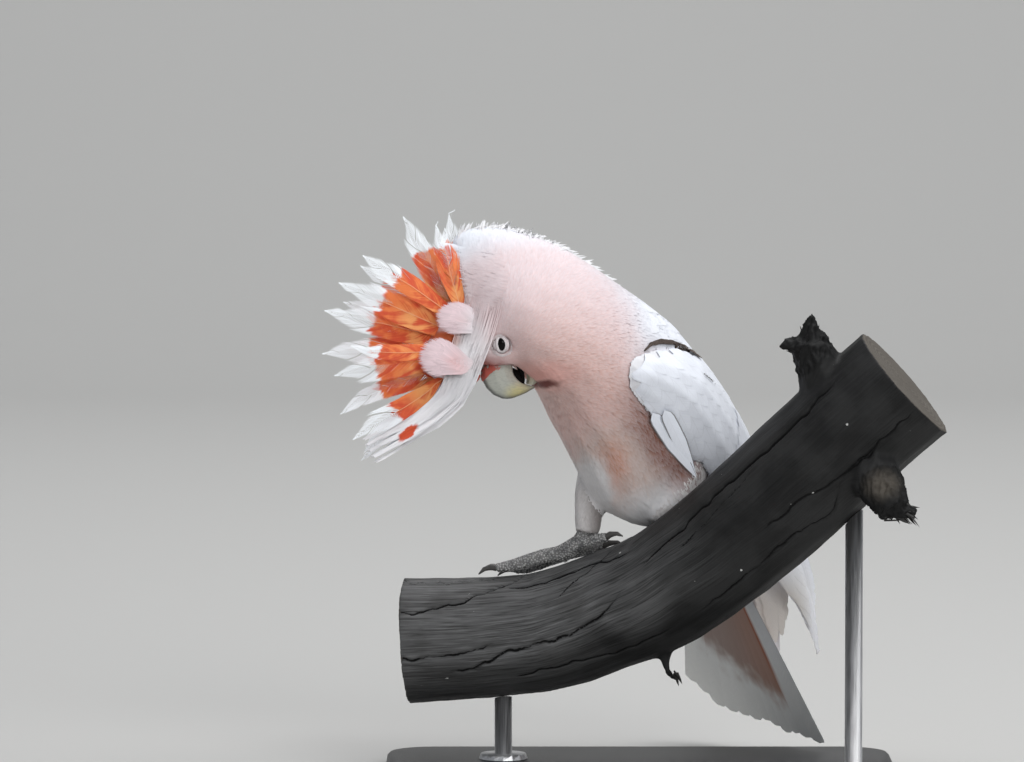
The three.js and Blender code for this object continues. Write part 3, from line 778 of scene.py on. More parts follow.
def lay_coat(name, surface, roots, normals, root_uv, lie, length, half_width, depth, seed):
    """Blades over a surface; length, half_width and depth are given per blade."""
    rng = np.random.default_rng(seed)
    n = len(roots)
    length = length * rng.uniform(0.75, 1.25, n)
    lie = unit(lie + np.cross(normals, lie) * rng.normal(0, 0.09, n)[:, None])
    steps = np.linspace(0, 1, 4)
    place, up = drape(surface, roots[:, None] + lie[:, None] * (length[:, None] * steps)[..., None])
    height = depth[:, None] * ((1 + ROOT_SINK) * steps**0.8 - ROOT_SINK)
    height[:, 0] = np.minimum(height[:, 0], -0.3 * MM)
    height += (rng.uniform(-0.08, 0.10, n) * depth)[:, None] * steps
    widths = half_width[:, None] * np.array([0.8, 1.0, 0.8]) * rng.uniform(0.85, 1.15, n)[:, None]
    return blades(name, place + up * height[..., None], widths, up, root_uv, rng.normal(0, 0.5, n), roof=0.18)


def finish_coat(o, finish, slot_name, *replaced):
    """Gives a piece its material and body, and hides the CAD nodes it stands for; returns its face count.
    slot_name is not used.
    """
    o.data.materials.append(finish)
    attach(o, "root")
    for node in replaced:
        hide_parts(node)
    return len(o.data.polygons)


def coat_spacing(points):
    """Blades stand closest on the face and on the legs."""
    on_leg = (points[:, 2] < 178 * MM) & (points[:, 0] < -14 * MM)
    return between(0.78, 1.5, size_share(points)) * np.where(on_leg, 0.6, 1)


print("coat tools ready")

# %% [markdown]
# ## Growing the coat
# Roots are scattered over the skin, but not on the bare ring around each eye. They are sorted
# by the CAD solid they are nearest to, so that each region becomes one piece. Feathers on
# the legs point down, and those on the mound under the crest point away from the head.

# %% The coat's regions
EYE_RING = 4.7 * MM  # the bare skin around each eye
DOWN_THE_LEG = np.array((0.05, 0, -1.0))
skin_form = Form(skin)
places, ups, maps = scatter(skin, coat_spacing, seed=11)
bare = np.min([np.linalg.norm(places - eye, axis=1) for eye in (EYE_LEFT, EYE_RIGHT)], axis=0) < EYE_RING
places, ups, maps = places[~bare], ups[~bare], maps[~bare]
root_tree = point_tree(places)
owners = {n: Form(NODES[n]).tree for n in FLESH}
nearest = np.array([[owners[n].find_nearest(p)[3] for n in FLESH] for p in places]).argmin(1)
share = size_share(places)
leg = np.isin(nearest, [FLESH.index("thigh_left"), FLESH.index("thigh_right")])
mound = nearest == FLESH.index("crest_coverts")
lies = lie_of_coat(places, ups)
downward = DOWN_THE_LEG - ups * (ups @ DOWN_THE_LEG)[:, None]
lies = np.where(leg[:, None], unit(downward), lies)
outward = unit(places - middle("head"))
outward = unit(outward - ups * (outward * ups).sum(1, keepdims=True))
lies = np.where(mound[:, None], outward, lies)
lengths = between(2.2, 11, share) * np.where(leg, 0.5, 1) * np.where(mound, 1.5, 1)
halves = between(0.40, 1.40, share) * np.where(leg, 0.8, 1)
near_side = (places - middle("neck")) @ HEAD_SIDE > 0
REGIONS = {
    "coat_head_left": (nearest == FLESH.index("head")) & near_side,
    "coat_head_right": (nearest == FLESH.index("head")) & ~near_side,
    "coat_neck": nearest == FLESH.index("neck"),
    "coat_trunk": nearest == FLESH.index("trunk"),
    "coat_crown_mound": mound,
    "coat_legs": leg,
}


def skin_map(points):
    """The baking map's place of the coat root nearest to each point."""
    return maps[[root_tree.find(p)[1] for p in points]]


print("roots:", len(places))
total = 0
for seed, (name, mask) in enumerate(REGIONS.items()):
    o = lay_coat(name, skin_form, places[mask], ups[mask], maps[mask], lies[mask], lengths[mask],
                 halves[mask], coat_depth(places[mask]), seed)
    count = finish_coat(o, LEG_FINISH if name == "coat_legs" else COAT_FINISH, "plumage_pink")
    total += count
    print(name, count, "triangles")
print("body coat:", total, "triangles")
finish_coat(skin, SKIN_FINISH, "plumage_pink", *FLESH)

# %% [markdown]
# ## The ruff
# A bowing bird raises the feathers along its crown and nape, and their white points make
# the ragged outline of its back. Here each lock is a small bunch of blades whose tips meet.
# Their broad faces look sideways, so that the locks read as soft triangles from the side,
# while their shading borrows the direction of the sky, which keeps them bright.

# %% Ruff
def nape_share(points, normals):
    """1 along the top of the nape, where the feathers stand up, fading to 0 around it."""
    upward = normals @ unit(np.array((-0.30, 0.05, 0.95)))
    x, z = points[:, 0], points[:, 2]
    reach = smoothstep(-118 * MM, -104 * MM, x) * (1 - smoothstep(-24 * MM, -6 * MM, x))
    return smoothstep(0.50, 0.85, upward) * reach * smoothstep(266 * MM, 284 * MM, z)


def raise_locks(name, roots, normals, root_uv, lie, length, half_width, lean, seed, strands=9,
                spread=1.9 * MM):
    """Bunches of standing blades: lean is how far each lock lies back, 0 upright to 1 flat."""
    rng = np.random.default_rng(seed)
    n = len(roots)
    side_sign = np.sign((roots - middle("neck")) @ HEAD_SIDE)[:, None]
    outward = HEAD_SIDE * side_sign
    way = unit(lie * lean[:, None] + normals * (1 - lean)[:, None] + rng.normal(0, 0.13, (n, 3)))
    length = length * rng.uniform(0.65, 1.2, n)
    steps = np.linspace(0, 1, 4)
    bent = unit(way[:, None] + lie[:, None] * (0.5 * steps**2)[None, :, None])
    walk = bent * (length[:, None] / 3)[..., None]
    spine = np.cumsum(walk, axis=1) - walk[:, :1]
    offset = np.linspace(-1, 1, strands)[None, :] + rng.uniform(-0.2, 0.2, (n, strands))
    closing = (1 - 0.8 * steps**1.5)[None, None, :, None]
    fan = lie[:, None, None] * (offset * spread)[..., None, None] * closing
    short = 1 - 0.35 * np.abs(offset) ** 1.5 * rng.uniform(0.4, 1, (n, strands))
    jitter = outward[:, None, None] * (rng.uniform(-0.7, 0.7, (n, strands)) * MM)[..., None, None]
    feet = roots[:, None, None] - normals[:, None, None] * 0.8 * MM
    paths = feet + spine[:, None] * short[..., None, None] + fan + jitter
    paths = paths.reshape(n * strands, 4, 3)
    facing = np.broadcast_to(outward[:, None, None], (n, strands, 4, 3)).reshape(-1, 4, 3)
    sky = np.broadcast_to(normals[:, None, None] * 1.4, (n, strands, 4, 3)).reshape(-1, 4, 3)
    widths = np.full((n * strands, 3), half_width) * np.array([1.0, 1.0, 0.62])
    widths = widths * rng.uniform(0.8, 1.2, (n * strands, 1))
    return blades(name, paths, widths, facing, np.repeat(root_uv, strands, 0),
                  rng.normal(0, 0.3, n * strands), roof=0.25, sky=sky)


standing = nape_share(places, ups)
rng = np.random.default_rng(71)
chosen = rng.random(len(places)) < standing * 0.34
far_back = smoothstep(-70 * MM, -25 * MM, places[chosen][:, 0])
ruff = raise_locks("ruff_locks", places[chosen], ups[chosen], maps[chosen], lies[chosen],
                   (7.6 + 3 * far_back) * MM * (0.55 + 0.45 * standing[chosen]), 0.42 * MM,
                   0.62 + 0.12 * far_back, 72)
print("ruff:", int(chosen.sum()), "locks,", finish_coat(ruff, RUFF_FINISH, "plumage_white"), "triangles")

# %% [markdown]
# ## Long feathers, barb by barb
# A flight feather is a shaft with a row of barbs on each side, and its beauty is in how the
# barbs hold together: smooth along the vane, parted here and there, frayed at the tip. So
# each long feather is grown from the same blades. The function works on a flat feather:
# x runs along the shaft, y across it, and an outline gives the half width at each place.
# Barbs start on the shaft, sweep forward, and end on the outline, and small groups of
# them lean together, which opens the notches between.

# %% Feathers
def barbs_of(length, outline, count, sweep, clump, fray, rng, groups):
    """Barb centre lines (m, 4, 2) and half widths (m, 3) of one flat feather.
    outline(t, side) is how far the edge lies from the shaft, with its sign."""
    lines, widths = [], []
    for side in (1, -1):
        q = (np.arange(count) + 0.5) / count
        group = np.floor(q * groups + rng.uniform(0, 1)).astype(int)
        loss = rng.uniform(0, 1, groups + 2)[group] ** 2
        middle_of = (group + 0.5) / groups
        lean = clump * smoothstep(0.15, 0.9, q)
        tip_q = np.clip(q + (np.clip(middle_of, 0, 1) - q) * lean, 0.01, 0.995)
        edge = outline(tip_q, side)
        cut = 1 - fray * (loss * smoothstep(0.4, 1, q) + 0.25 * rng.uniform(0, 1, count))
        x_tip = tip_q * length
        reach = np.abs(edge) / math.tan(math.radians(sweep))
        x_root = np.clip(q * length - reach, 0.0, None) * 0.985
        x_tip, y_tip = x_root + (x_tip - x_root) * cut, edge * cut
        steps = np.array([0, 0.4, 0.8, 1.0])
        bow = np.array([0, 0.10, 0.07, 0])
        x = x_root[:, None] + (x_tip - x_root)[:, None] * (steps - bow)
        y = y_tip[:, None] * (steps + bow)
        lines.append(np.stack([x, y], -1))
        gap = length / count * math.sin(math.radians(sweep))
        widths.append(np.full(count, gap)[:, None] * np.array([0.8, 0.85, 0.62]))
    return np.concatenate(lines), np.concatenate(widths)


print("barb rows ready")

# %% [markdown]
# ## From barbs to feathers
# The rows of barbs become blades of a single mesh, and a thicker blade with a high roof is
# the shaft. The builder doesn't know where a feather sits: every feather brings a function
# of its own, which takes places on the flat feather and gives places on the bird.

# %% Grown feathers
def half_width_of(outline):
    """Half the width of a feather, halfway along it."""
    halfway = np.array([0.5])
    return max(abs(outline(halfway, 1)[0]), abs(outline(halfway, -1)[0]), 1e-5)


def grow_feathers(name, feathers, seed, count, sweep, clump, fray, camber, shaft_width, groups, sky):
    """One mesh of many feathers. Each is a dict with its length, its outline and the function
    place(x, y, z), which gives points, normals and the way ahead. sky tilts the shading
    towards the light above, as if some of it came through the vane."""
    rng = np.random.default_rng(seed)
    sets = {"paths": [], "widths": [], "normals": [], "uv": [], "tone": [], "along": []}
    shafts = {key: [] for key in sets}
    side = math.ceil(math.sqrt(len(feathers)))
    for i, feather in enumerate(feathers):
        length, outline = feather["length"], feather["outline"]
        lines, widths = barbs_of(length, outline, count, sweep, clump, fray, rng, groups)
        half = half_width_of(outline)
        x, y = lines[..., 0], lines[..., 1]
        z = camber * (1 - np.clip(np.abs(y) / half, 0, 1.3) ** 2)
        z = z + rng.uniform(0, 0.06 * MM, len(x))[:, None]
        points, up, ahead = feather["place"](x, y, z)
        corner = np.array([(i % side) + 0.1, (i // side) + 0.1]) / side
        spread = np.stack([x[:, 0] / length, 0.5 + y[:, 1] / (4 * half)], -1) * 0.8 / side
        sets["paths"].append(points)
        sets["widths"].append(widths)
        sets["normals"].append(unit(up - 0.16 * ahead))
        sets["uv"].append(corner + spread)
        drift = np.convolve(rng.normal(0, 0.6, len(x) + 6), np.ones(7) / 7, "valid")
        sets["tone"].append(feather.get("tone", 0) + drift * 1.6 + rng.normal(0, 0.12, len(x)))
        sets["along"].append(x / length)
        x = np.linspace(0, 0.97, 12)[None] * length
        t = x / length
        points, up, _ = feather["place"](x, 0 * x, camber + 0.12 * MM + 0 * x)
        shafts["paths"].append(points)
        shafts["widths"].append((shaft_width * (1.05 - t) ** 0.7)[:, :-1])
        shafts["normals"].append(up)
        shafts["uv"].append((corner + np.array([0.4, 0.4]) / side)[None])
        shafts["tone"].append(np.zeros(1))
        shafts["along"].append(t)
    made = []
    for part, is_shaft in ((sets, 0.0), (shafts, 1.0)):
        joined = {key: np.concatenate(value) for key, value in part.items()}
        made.append(blades(name, joined["paths"], joined["widths"], joined["normals"], joined["uv"],
                           joined["tone"], along=joined["along"], roof=0.8 if is_shaft else 0.25,
                           shaft=is_shaft,
                           sky=np.array((0, 0, sky))))
    select(*made)
    bpy.ops.object.join()
    o = bpy.context.object
    o.name = o.data.name = name
    return o


print("feather builder ready")

# %% [markdown]
# ## Reading a feather from its CAD plate
# The CAD model has a flat plate for each crest feather. Its longest and its thinnest
# direction come from a decomposition of its points, and rays cast from both sides find its
# outline, so that the barbs fill just the plate's shape.

# %% Crest plates
def turned(v, axis, degrees):
    """Vectors turned about a unit axis."""
    c, s = math.cos(math.radians(degrees)), math.sin(math.radians(degrees))
    return v * c + np.cross(axis, v) * s + axis * np.sum(v * axis, -1, keepdims=True) * (1 - c)


def plate_of(node, anchor, swing=0.0):
    """A flat feather read from a flat CAD solid: its length, its outline and its place.
    swing opens or closes the feather by a few degrees about the anchor."""
    co = points_of(NODES[node])
    centre = (co.min(0) + co.max(0)) / 2
    _, _, axes = np.linalg.svd(co - co.mean(0), full_matrices=False)
    along, _, out = axes
    tri, _ = triangles_of(NODES[node])
    facing = np.cross(co[tri[:, 1]] - co[tri[:, 0]], co[tri[:, 2]] - co[tri[:, 0]])
    out = unit((facing * np.sign(facing @ out)[:, None]).sum(0))
    along = unit(along - out * np.dot(along, out))
    if np.dot(centre - anchor, along) < 0:
        along = -along
    across = np.cross(out, along)
    local = (co - centre) @ np.stack([along, across, out], 1)
    start, end = local[:, 0].min(), local[:, 0].max()
    root = centre + along * start
    solid = Form(NODES[node]).tree
    length = end - start
    samples = np.linspace(0.02, 0.98, 40)
    edges = {}
    for side in (1, -1):
        found = []
        for t in samples:
            origin = root + along * length * t + across * side * 0.08
            hit = solid.ray_cast(Vector(origin), Vector(-across * side))[0]
            found.append(np.dot(np.array(hit) - root, across) if hit is not None else 0.0)
        edges[side] = np.array(found)
    line = (edges[1] + edges[-1]) / 2

    root = anchor + turned(root - anchor, HEAD_SIDE, swing)
    along, across, out = (turned(v, HEAD_SIDE, swing) for v in (along, across, out))

    def outline(t, side):
        edge, mid = np.interp(t, samples, edges[side]), np.interp(t, samples, line)
        return (edge - mid) * np.sqrt(np.clip((1.0 - t) / 0.04, 0, 1))

    def place(x, y, z):
        mid = np.interp(x / length, samples, line)
        points = root + x[..., None] * along + (y + mid)[..., None] * across + z[..., None] * out
        up = np.broadcast_to(out, points.shape)
        return points, up, np.broadcast_to(along, points.shape)

    return {"length": length, "outline": outline, "place": place}


print("plate reader ready")

# %% [markdown]
# ## Smooth vanes
# Where a real feather's barbs hold together so well that the vane looks like one sheet, a
# sheet is the honest way to make it: a thin closed plate with a rounded back, a few small
# notches in its edges, and shading that follows its own curve. Two values travel with each
# point, across the vane and along its barbs, so that a material can draw shaft and barbs.

# %% Smooth vanes
def vane_sheets(name, feathers, rows, columns, seed, thickness=0.2 * MM, notch=0.05, camber=0.5 * MM):
    """One mesh of smooth closed feathers, made from the same descriptions as the barbed ones."""
    rng = np.random.default_rng(seed)
    cells = math.ceil(math.sqrt(len(feathers)))
    wide = 2 * columns + 1
    per = rows * wide
    first = (np.arange(rows - 1)[:, None] * wide + np.arange(wide - 1)[None]).ravel()
    top = np.stack([first, first + wide, first + wide + 1, first + 1], -1)
    under = np.stack([first, first + 1, first + wide + 1, first + wide], -1) + per
    loop = np.concatenate([np.arange(wide), np.arange(1, rows) * wide + wide - 1,
                           (rows - 1) * wide + np.arange(wide - 2, -1, -1),
                           np.arange(rows - 2, -1, -1) * wide])
    rim = np.stack([loop[:-1], loop[1:], loop[1:] + per, loop[:-1] + per], -1)
    quads = np.concatenate([top, under, rim])
    sign = np.concatenate([np.ones(len(top)), -np.ones(len(under)), np.ones(len(rim))])
    q = 1 - (1 - np.linspace(0, 1, rows)) ** 1.4
    verts, faces, corners = [], [], []
    values = {"along": [], "across": [], "tone": [], "fan": [], "barb": [], "uv": []}
    for i, feather in enumerate(feathers):
        length, outline = feather["length"], feather["outline"]
        half = half_width_of(outline)
        halves = []
        for side in (-1, 1):
            bite = 1 - feather.get("notch", notch) * rng.random(rows) ** 3 * smoothstep(0.2, 0.6, q)
            edge = outline(q, side) * bite
            y = edge[:, None] * np.linspace(0, 1, columns + 1)[None]
            x = np.repeat((q * length)[:, None], columns + 1, 1)
            z = camber * (1 - np.clip(np.abs(y) / half, 0, 1.2) ** 2)
            points, up, _ = feather["place"](x, y, z)
            halves.append((points, np.array(up), y, x))
        points, up, y, x = (np.concatenate([a[:, :0:-1], b], axis=1) for a, b in zip(*halves))
        own = unit(np.cross(np.gradient(points, axis=0), np.gradient(points, axis=1)))
        left_handed = (own * up).sum() < 0
        own = -own if left_handed else own
        folded = ((own * up).sum(-1) < 0.35)[..., None]
        own = np.where(folded, up, np.nan_to_num(own))
        lit = unit(0.55 * own + 0.45 * up + np.array(feather.get("sky", (0, 0, 0.0)))).reshape(-1, 3)
        typical = unit(up.mean((0, 1)))
        lit = np.where((lit @ typical < 0.3)[:, None], typical, lit)
        verts.append(np.concatenate([points.reshape(-1, 3), (points - up * thickness).reshape(-1, 3)]))
        mine = quads[:, ::-1] if left_handed else quads
        faces.append(mine + 2 * per * i)
        corners.append(lit[mine % per] * sign[:, None, None])
        steps = np.broadcast_to(np.linspace(-1, 1, wide)[None], (rows, wide)).ravel()
        along = np.repeat(q, wide)
        values["along"].append(np.tile(along, 2))
        values["across"].append(np.tile(steps, 2))
        values["tone"].append(np.full(2 * per, feather.get("tone", 0.0)))
        values["fan"].append(np.tile((feather.get("fan", 0.0) + feather.get("fan_half", 0.0) * steps), 2))
        values["barb"].append(np.tile(np.stack([(x - 1.3 * np.abs(y)).ravel(), 0.10 * y.ravel(),
                                                np.full(per, 0.013 * i)], -1), (2, 1)))
        corner = np.array([(i % cells) + 0.1, (i // cells) + 0.1]) / cells
        values["uv"].append(corner + np.tile(np.stack([along, 0.5 + 0.4 * steps], -1), (2, 1)) * 0.8 / cells)
    mesh = bpy.data.meshes.new(name)
    mesh.from_pydata(np.concatenate(verts).tolist(), [], np.concatenate(faces).tolist())
    mesh.shade_smooth()
    for label in ("along", "across", "tone", "fan", "barb"):
        store(mesh, label, np.concatenate(values[label]))
    uv = np.concatenate(values["uv"])[np.concatenate(faces).ravel()]
    mesh.uv_layers.new(name="OFBake").uv.foreach_set("vector", uv.astype(np.float32).ravel())
    mesh.normals_split_custom_set(np.concatenate(corners).reshape(-1, 3).tolist())
    return new_object(name, mesh)


def barb_lines(tree, colour, strength):
    """Fine light and dark lines that run along the barbs of a smooth vane."""
    lines = noise_of(tree, read_attribute(tree, "barb", "Vector"), 0.8, 3)
    return toned(tree, colour, minus(tree, lines, 0.5), strength)


print("smooth vanes ready")

# %% [markdown]
# ## Mantle and shoulders
# The white feathers of the back are broad and smooth, and they lie over the soft coat like
# tiles. They take their colour from the same pattern as the coat, so the pink of the neck
# runs on into them.

# %% Mantle
def on_form(form, root, way, up, length, half_width, base, lift, **more):
    """A small feather laid over a form from its root."""
    beside = np.cross(up, way)

    def outline(t, side):
        shape = np.sin(np.pi * np.clip(np.asarray(t), 0, 1) ** 0.7) ** 0.6
        return side * half_width * np.maximum(shape, 0.02)

    def place(x, y, z):
        hit, normal = drape(form, root + x[..., None] * way + y[..., None] * beside)
        points = hit + normal * (base + lift * x / length + z)[..., None]
        return points, normal, np.broadcast_to(way, hit.shape)

    return {"length": length, "outline": outline, "place": place, **more}


spots, spot_up, _ = scatter(skin, lambda p: np.full(len(p), 7.0 * MM), seed=81)
pink_reach = np.hypot((spots[:, 0] / MM + 64) / 60, (spots[:, 2] / MM - 250) / 54)
BACKWARD = unit(np.array((0.55, 0.30, 0.78)))
on_mantle = (pink_reach > 1.04) & (spot_up @ BACKWARD > 0.45)
on_mantle &= (spots[:, 0] > -40 * MM) & (spots[:, 2] > 150 * MM)
spots, spot_up = spots[on_mantle], spot_up[on_mantle]
ways = lie_of_coat(spots, spot_up)
rng = np.random.default_rng(82)
order = np.argsort(-spots @ unit(np.array((-0.6, -0.4, 0.7))))[::-1]
mantle = [
    on_form(skin_form, spots[i], ways[i], spot_up[i], rng.uniform(15, 19) * MM, rng.uniform(5.6, 7) * MM,
            0.2 * MM, 0.55 * MM, tone=rng.normal(0, 0.3), sky=(0, 0, 0.15))
    for i in order
]
mantle_sheet = vane_sheets("mantle_feathers", mantle, 8, 3, seed=83, camber=0.3 * MM)
print("mantle:", len(mantle), "feathers,", finish_coat(mantle_sheet, COAT_FINISH, "plumage_white"), "faces")

# %% [markdown]
# ## The crest
# The fan is the bird's signal: orange-red feathers with a glow of yellow in the middle and
# ragged white tips. Each CAD plate is read for its own frame and outline, and a barbed
# feather grows inside it. The colours depend on the distance from the point where all the
# crest feathers spring, so the bands run across the whole fan as they do on the bird.

# %% Crest finish
CREST_RED = (0.70, 0.080, 0.020)
CREST_ORANGE = (0.82, 0.20, 0.045)
CREST_YELLOW = (0.92, 0.40, 0.13)
CREST_SWING = {4: 4, 5: 5.5, 7: 2, 9: -3.5, 11: -3, 12: -7, 13: -2}


def crest_material():
    """Red and orange with a yellow glow and white tips, by the distance from the fan's root."""
    material = new_material("crest_plumage", CREST_ORANGE, 0.7, Sheen_Weight=0.2)
    tree = material.node_tree
    position = object_position(tree)
    tone = read_attribute(tree, "tone")
    offset = placed(tree, position, tuple(CREST_CENTRE / MM), (1, 1, 1))
    wavy = plus(tree, length_of(tree, offset), times(tree, noise_of(tree, position, 7), 7.0))
    radius = plus(tree, wavy, times(tree, tone, 2.2))
    cloud = noise_of(tree, position, 11, 2)
    glow = times(tree, ramp_of(tree, radius, 24, 34), ramp_of(tree, radius, 57, 43))
    cloudy = plus(tree, cloud, times(tree, tone, 0.16))
    glow = times(tree, glow, ramp_of(tree, cloudy, 0.44, 0.64))
    streaky = plus(tree, noise_of(tree, position, 6, 2), times(tree, tone, 0.30))
    streak = ramp_of(tree, streaky, 0.32, 0.70)
    colour = mix_of(tree, streak, CREST_RED, CREST_ORANGE)
    colour = mix_of(tree, times(tree, glow, 0.85), colour, CREST_YELLOW)
    shaft = times(tree, read_attribute(tree, "shaft"), 0.7)
    colour = mix_of(tree, shaft, colour, (0.93, 0.50, 0.27))
    colour = mix_of(tree, ramp_of(tree, radius, 61.5, 64.0), colour, (0.94, 0.97, 1.0))
    return paint(material, toned(tree, colour, tone, 0.05))


CREST_FINISH = crest_material()
crest_names = sorted(n for n in NODES if n.startswith("crest_feather_"))
count = 0
for number, node in enumerate(crest_names, 1):
    plate = plate_of(node, CREST_CENTRE, CREST_SWING.get(number, 0))
    o = grow_feathers(node + "_vane", [plate], seed=100 + number, count=84, sweep=22, clump=0.10, fray=0.26,
                      camber=0.35 * MM, shaft_width=0.26 * MM, groups=7, sky=0.75)
    count += finish_coat(o, CREST_FINISH, "crest", node)
print(len(crest_names), "crest feathers,", count, "triangles")

# %% [markdown]
# ## The forehead plume
# Long white forehead feathers start above the eye, pass the corner of the bill and hang as
# one thick sheaf below the fan. The CAD sheaf is copied, evened and thinned as a core. Then
# strands follow a guide line from the forehead over that core, and part into a few ragged
# locks at the end. The guide is written in millimetres from the left eye; the strands of
# the other side are mirrored in the plane between the eyes.

# %% Forehead plume
plume_form = copy_of("plume_core", "crest_plume")
even_form(plume_form, 0.9 * MM, 4)
move_points(plume_form, points_of(plume_form) - normals_of(plume_form) * 0.9 * MM)
unwrap(plume_form, 0.01)
PLUME_GUIDE = np.array([(-8, 34), (-10.5, 21), (-14.5, 7), (-19, -6), (-22.5, -19.5), (-28.5, -32),
                        (-39, -41.5), (-51, -49), (-63, -55), (-76, -61.5)]) * MM
PLUME_HALF = np.array([8.5, 9.0, 9.0, 8.6, 7.4, 6.6, 6.0, 5.4, 5.2, 4.8]) * MM


def facing_side(form, x, z, limit=-0.02):
    """How far towards the bird's left a form reaches at these (x, z), as y; nan where it is absent."""
    y = np.full(x.shape, np.nan)
    for index in np.ndindex(x.shape):
        hit = form.tree.ray_cast(Vector((x[index], -0.2, z[index])), Vector((0, 1, 0)))[0]
        if hit is not None and hit.y < limit:
            y[index] = hit.y
    return y


def reach_of(form, x, z):
    """facing_side with its gaps filled from the known places of the same line."""
    y = facing_side(form, x, z)
    steps = np.arange(x.shape[1])
    for row in y:
        known = ~np.isnan(row)
        row[:] = np.interp(steps, steps[known], row[known]) if known.any() else -0.042
    return y


def both_sides(lines):
    """Lines of the bird's left with their mirror images, and the way that each of them faces."""
    facing = np.broadcast_to(HEAD_SIDE, lines.shape)
    return np.concatenate([lines, mirrored(lines)]), np.concatenate([facing, -facing])


def plume_strands(count, seed, stations=7):
    """Strand centre lines (count, stations, 3) on the bird's left side, with their share of the guide."""
    rng = np.random.default_rng(seed)
    guide_t = np.linspace(0, 1, len(PLUME_GUIDE))
    side = np.clip(rng.normal(0, 0.55, count), -1.15, 1.15)
    start = 0.02 + 0.72 * rng.random(count) ** 0.85
    run = rng.uniform(0.26, 0.40, count)
    t = start[:, None] + run[:, None] * np.linspace(0, 1, stations)[None]
    t = np.clip(t, 0, 1.0)
    t = np.where(t > 0.98, 0.98 + (t - 0.98) * 0.5, t)
    x = np.interp(t, guide_t, PLUME_GUIDE[:, 0])
    z = np.interp(t, guide_t, PLUME_GUIDE[:, 1])
    half = np.interp(t, guide_t, PLUME_HALF)
    heading = np.stack([np.gradient(PLUME_GUIDE[:, 0]), np.gradient(PLUME_GUIDE[:, 1])], -1)
    heading /= np.linalg.norm(heading, axis=1, keepdims=True)
    hx, hz = np.interp(t, guide_t, heading[:, 0]), np.interp(t, guide_t, heading[:, 1])
    lock = np.round(side * 1.5) / 1.5
    offset = side[:, None] + (lock[:, None] * 1.15 - side[:, None]) * smoothstep(0.74, 1.0, t) * 0.85
    x, z = EYE_LEFT[0] + x - hz * offset * half, EYE_LEFT[2] + z + hx * offset * half
    y = reach_of(Form(skin, plume_form), x, z)
    y[:, 1:-1] = (y[:, :-2] + y[:, 1:-1] + y[:, 2:]) / 3
    lift = rng.uniform(0.9, 2.2, count)[:, None] * np.array([-1.2, 0.5, 1.0, 1.3, 1.2, 1.0, 0.8])[None]
    y = y - (lift + 0.9 * np.exp(-(((t - 0.42) / 0.15) ** 2))) * MM
    return np.stack([x, y, z], -1), t


def plume_material():
    """White strands that take the coat's own colours near the forehead, with one red streak."""
    material = new_material("plume_plumage", WHITE, 0.75, Sheen_Weight=0.25)
    tree = material.node_tree
    down = ramp_of(tree, read_attribute(tree, "along"), 0.10, 0.45)
    colour = mix_of(tree, down, plumage_pattern(tree).outputs["Color"], (0.94, 0.93, 0.95))
    broken = jittered(tree, object_position(tree), 4, 1.6)
    streak = patch(tree, broken, (-131.5, 0, 199.5), (6.8, WIDE, 2.5), 0.22, 40)
    colour = mix_of(tree, streak, colour, CREST_RED)
    return paint(material, toned(tree, colour, read_attribute(tree, "tone"), 0.05))


PLUME_FINISH = plume_material()
lines, guide_share = plume_strands(800, 23)
lines, facing = both_sides(lines)
guide_share = np.concatenate([guide_share, guide_share])
low_down = smoothstep(0.16, 0.46, guide_share)[..., None]
_, skin_up = drape(skin_form, lines)
rng = np.random.default_rng(24)
taper = np.array([0.4, 0.8, 1, 1, 0.9, 0.7])
fine_start = 0.6 + 0.4 * smoothstep(0.0, 0.3, guide_share[:, :1])
widths = rng.uniform(0.36, 0.62, len(lines))[:, None] * fine_start * taper * MM
strands = blades("plume_strands", lines, widths, unit(skin_up * (1 - low_down) + facing * low_down),
                 skin_map(lines[:, 0]), rng.normal(0, 0.5, len(lines)), along=guide_share,
                 sky=np.array((0, 0, 0.6)) * smoothstep(0, 0.3, guide_share)[..., None])
finish_coat(strands, PLUME_FINISH, "plumage_white")
finish_coat(plume_form, PLUME_FINISH, "plumage_white", "crest_plume")
print("plume strands:", len(lines))

# %% [markdown]
# ## Crest tufts
# Two rounded pads of soft feathers cover the roots of the fan on each side, with the bright
# colour showing between them. Each pad is a fan of blades that spring from one place and
# end on a circle, in five layers that get shorter towards the middle, which domes the pad.
# The side that faces the forehead sinks into the coat, so that the pad has no hard edge.

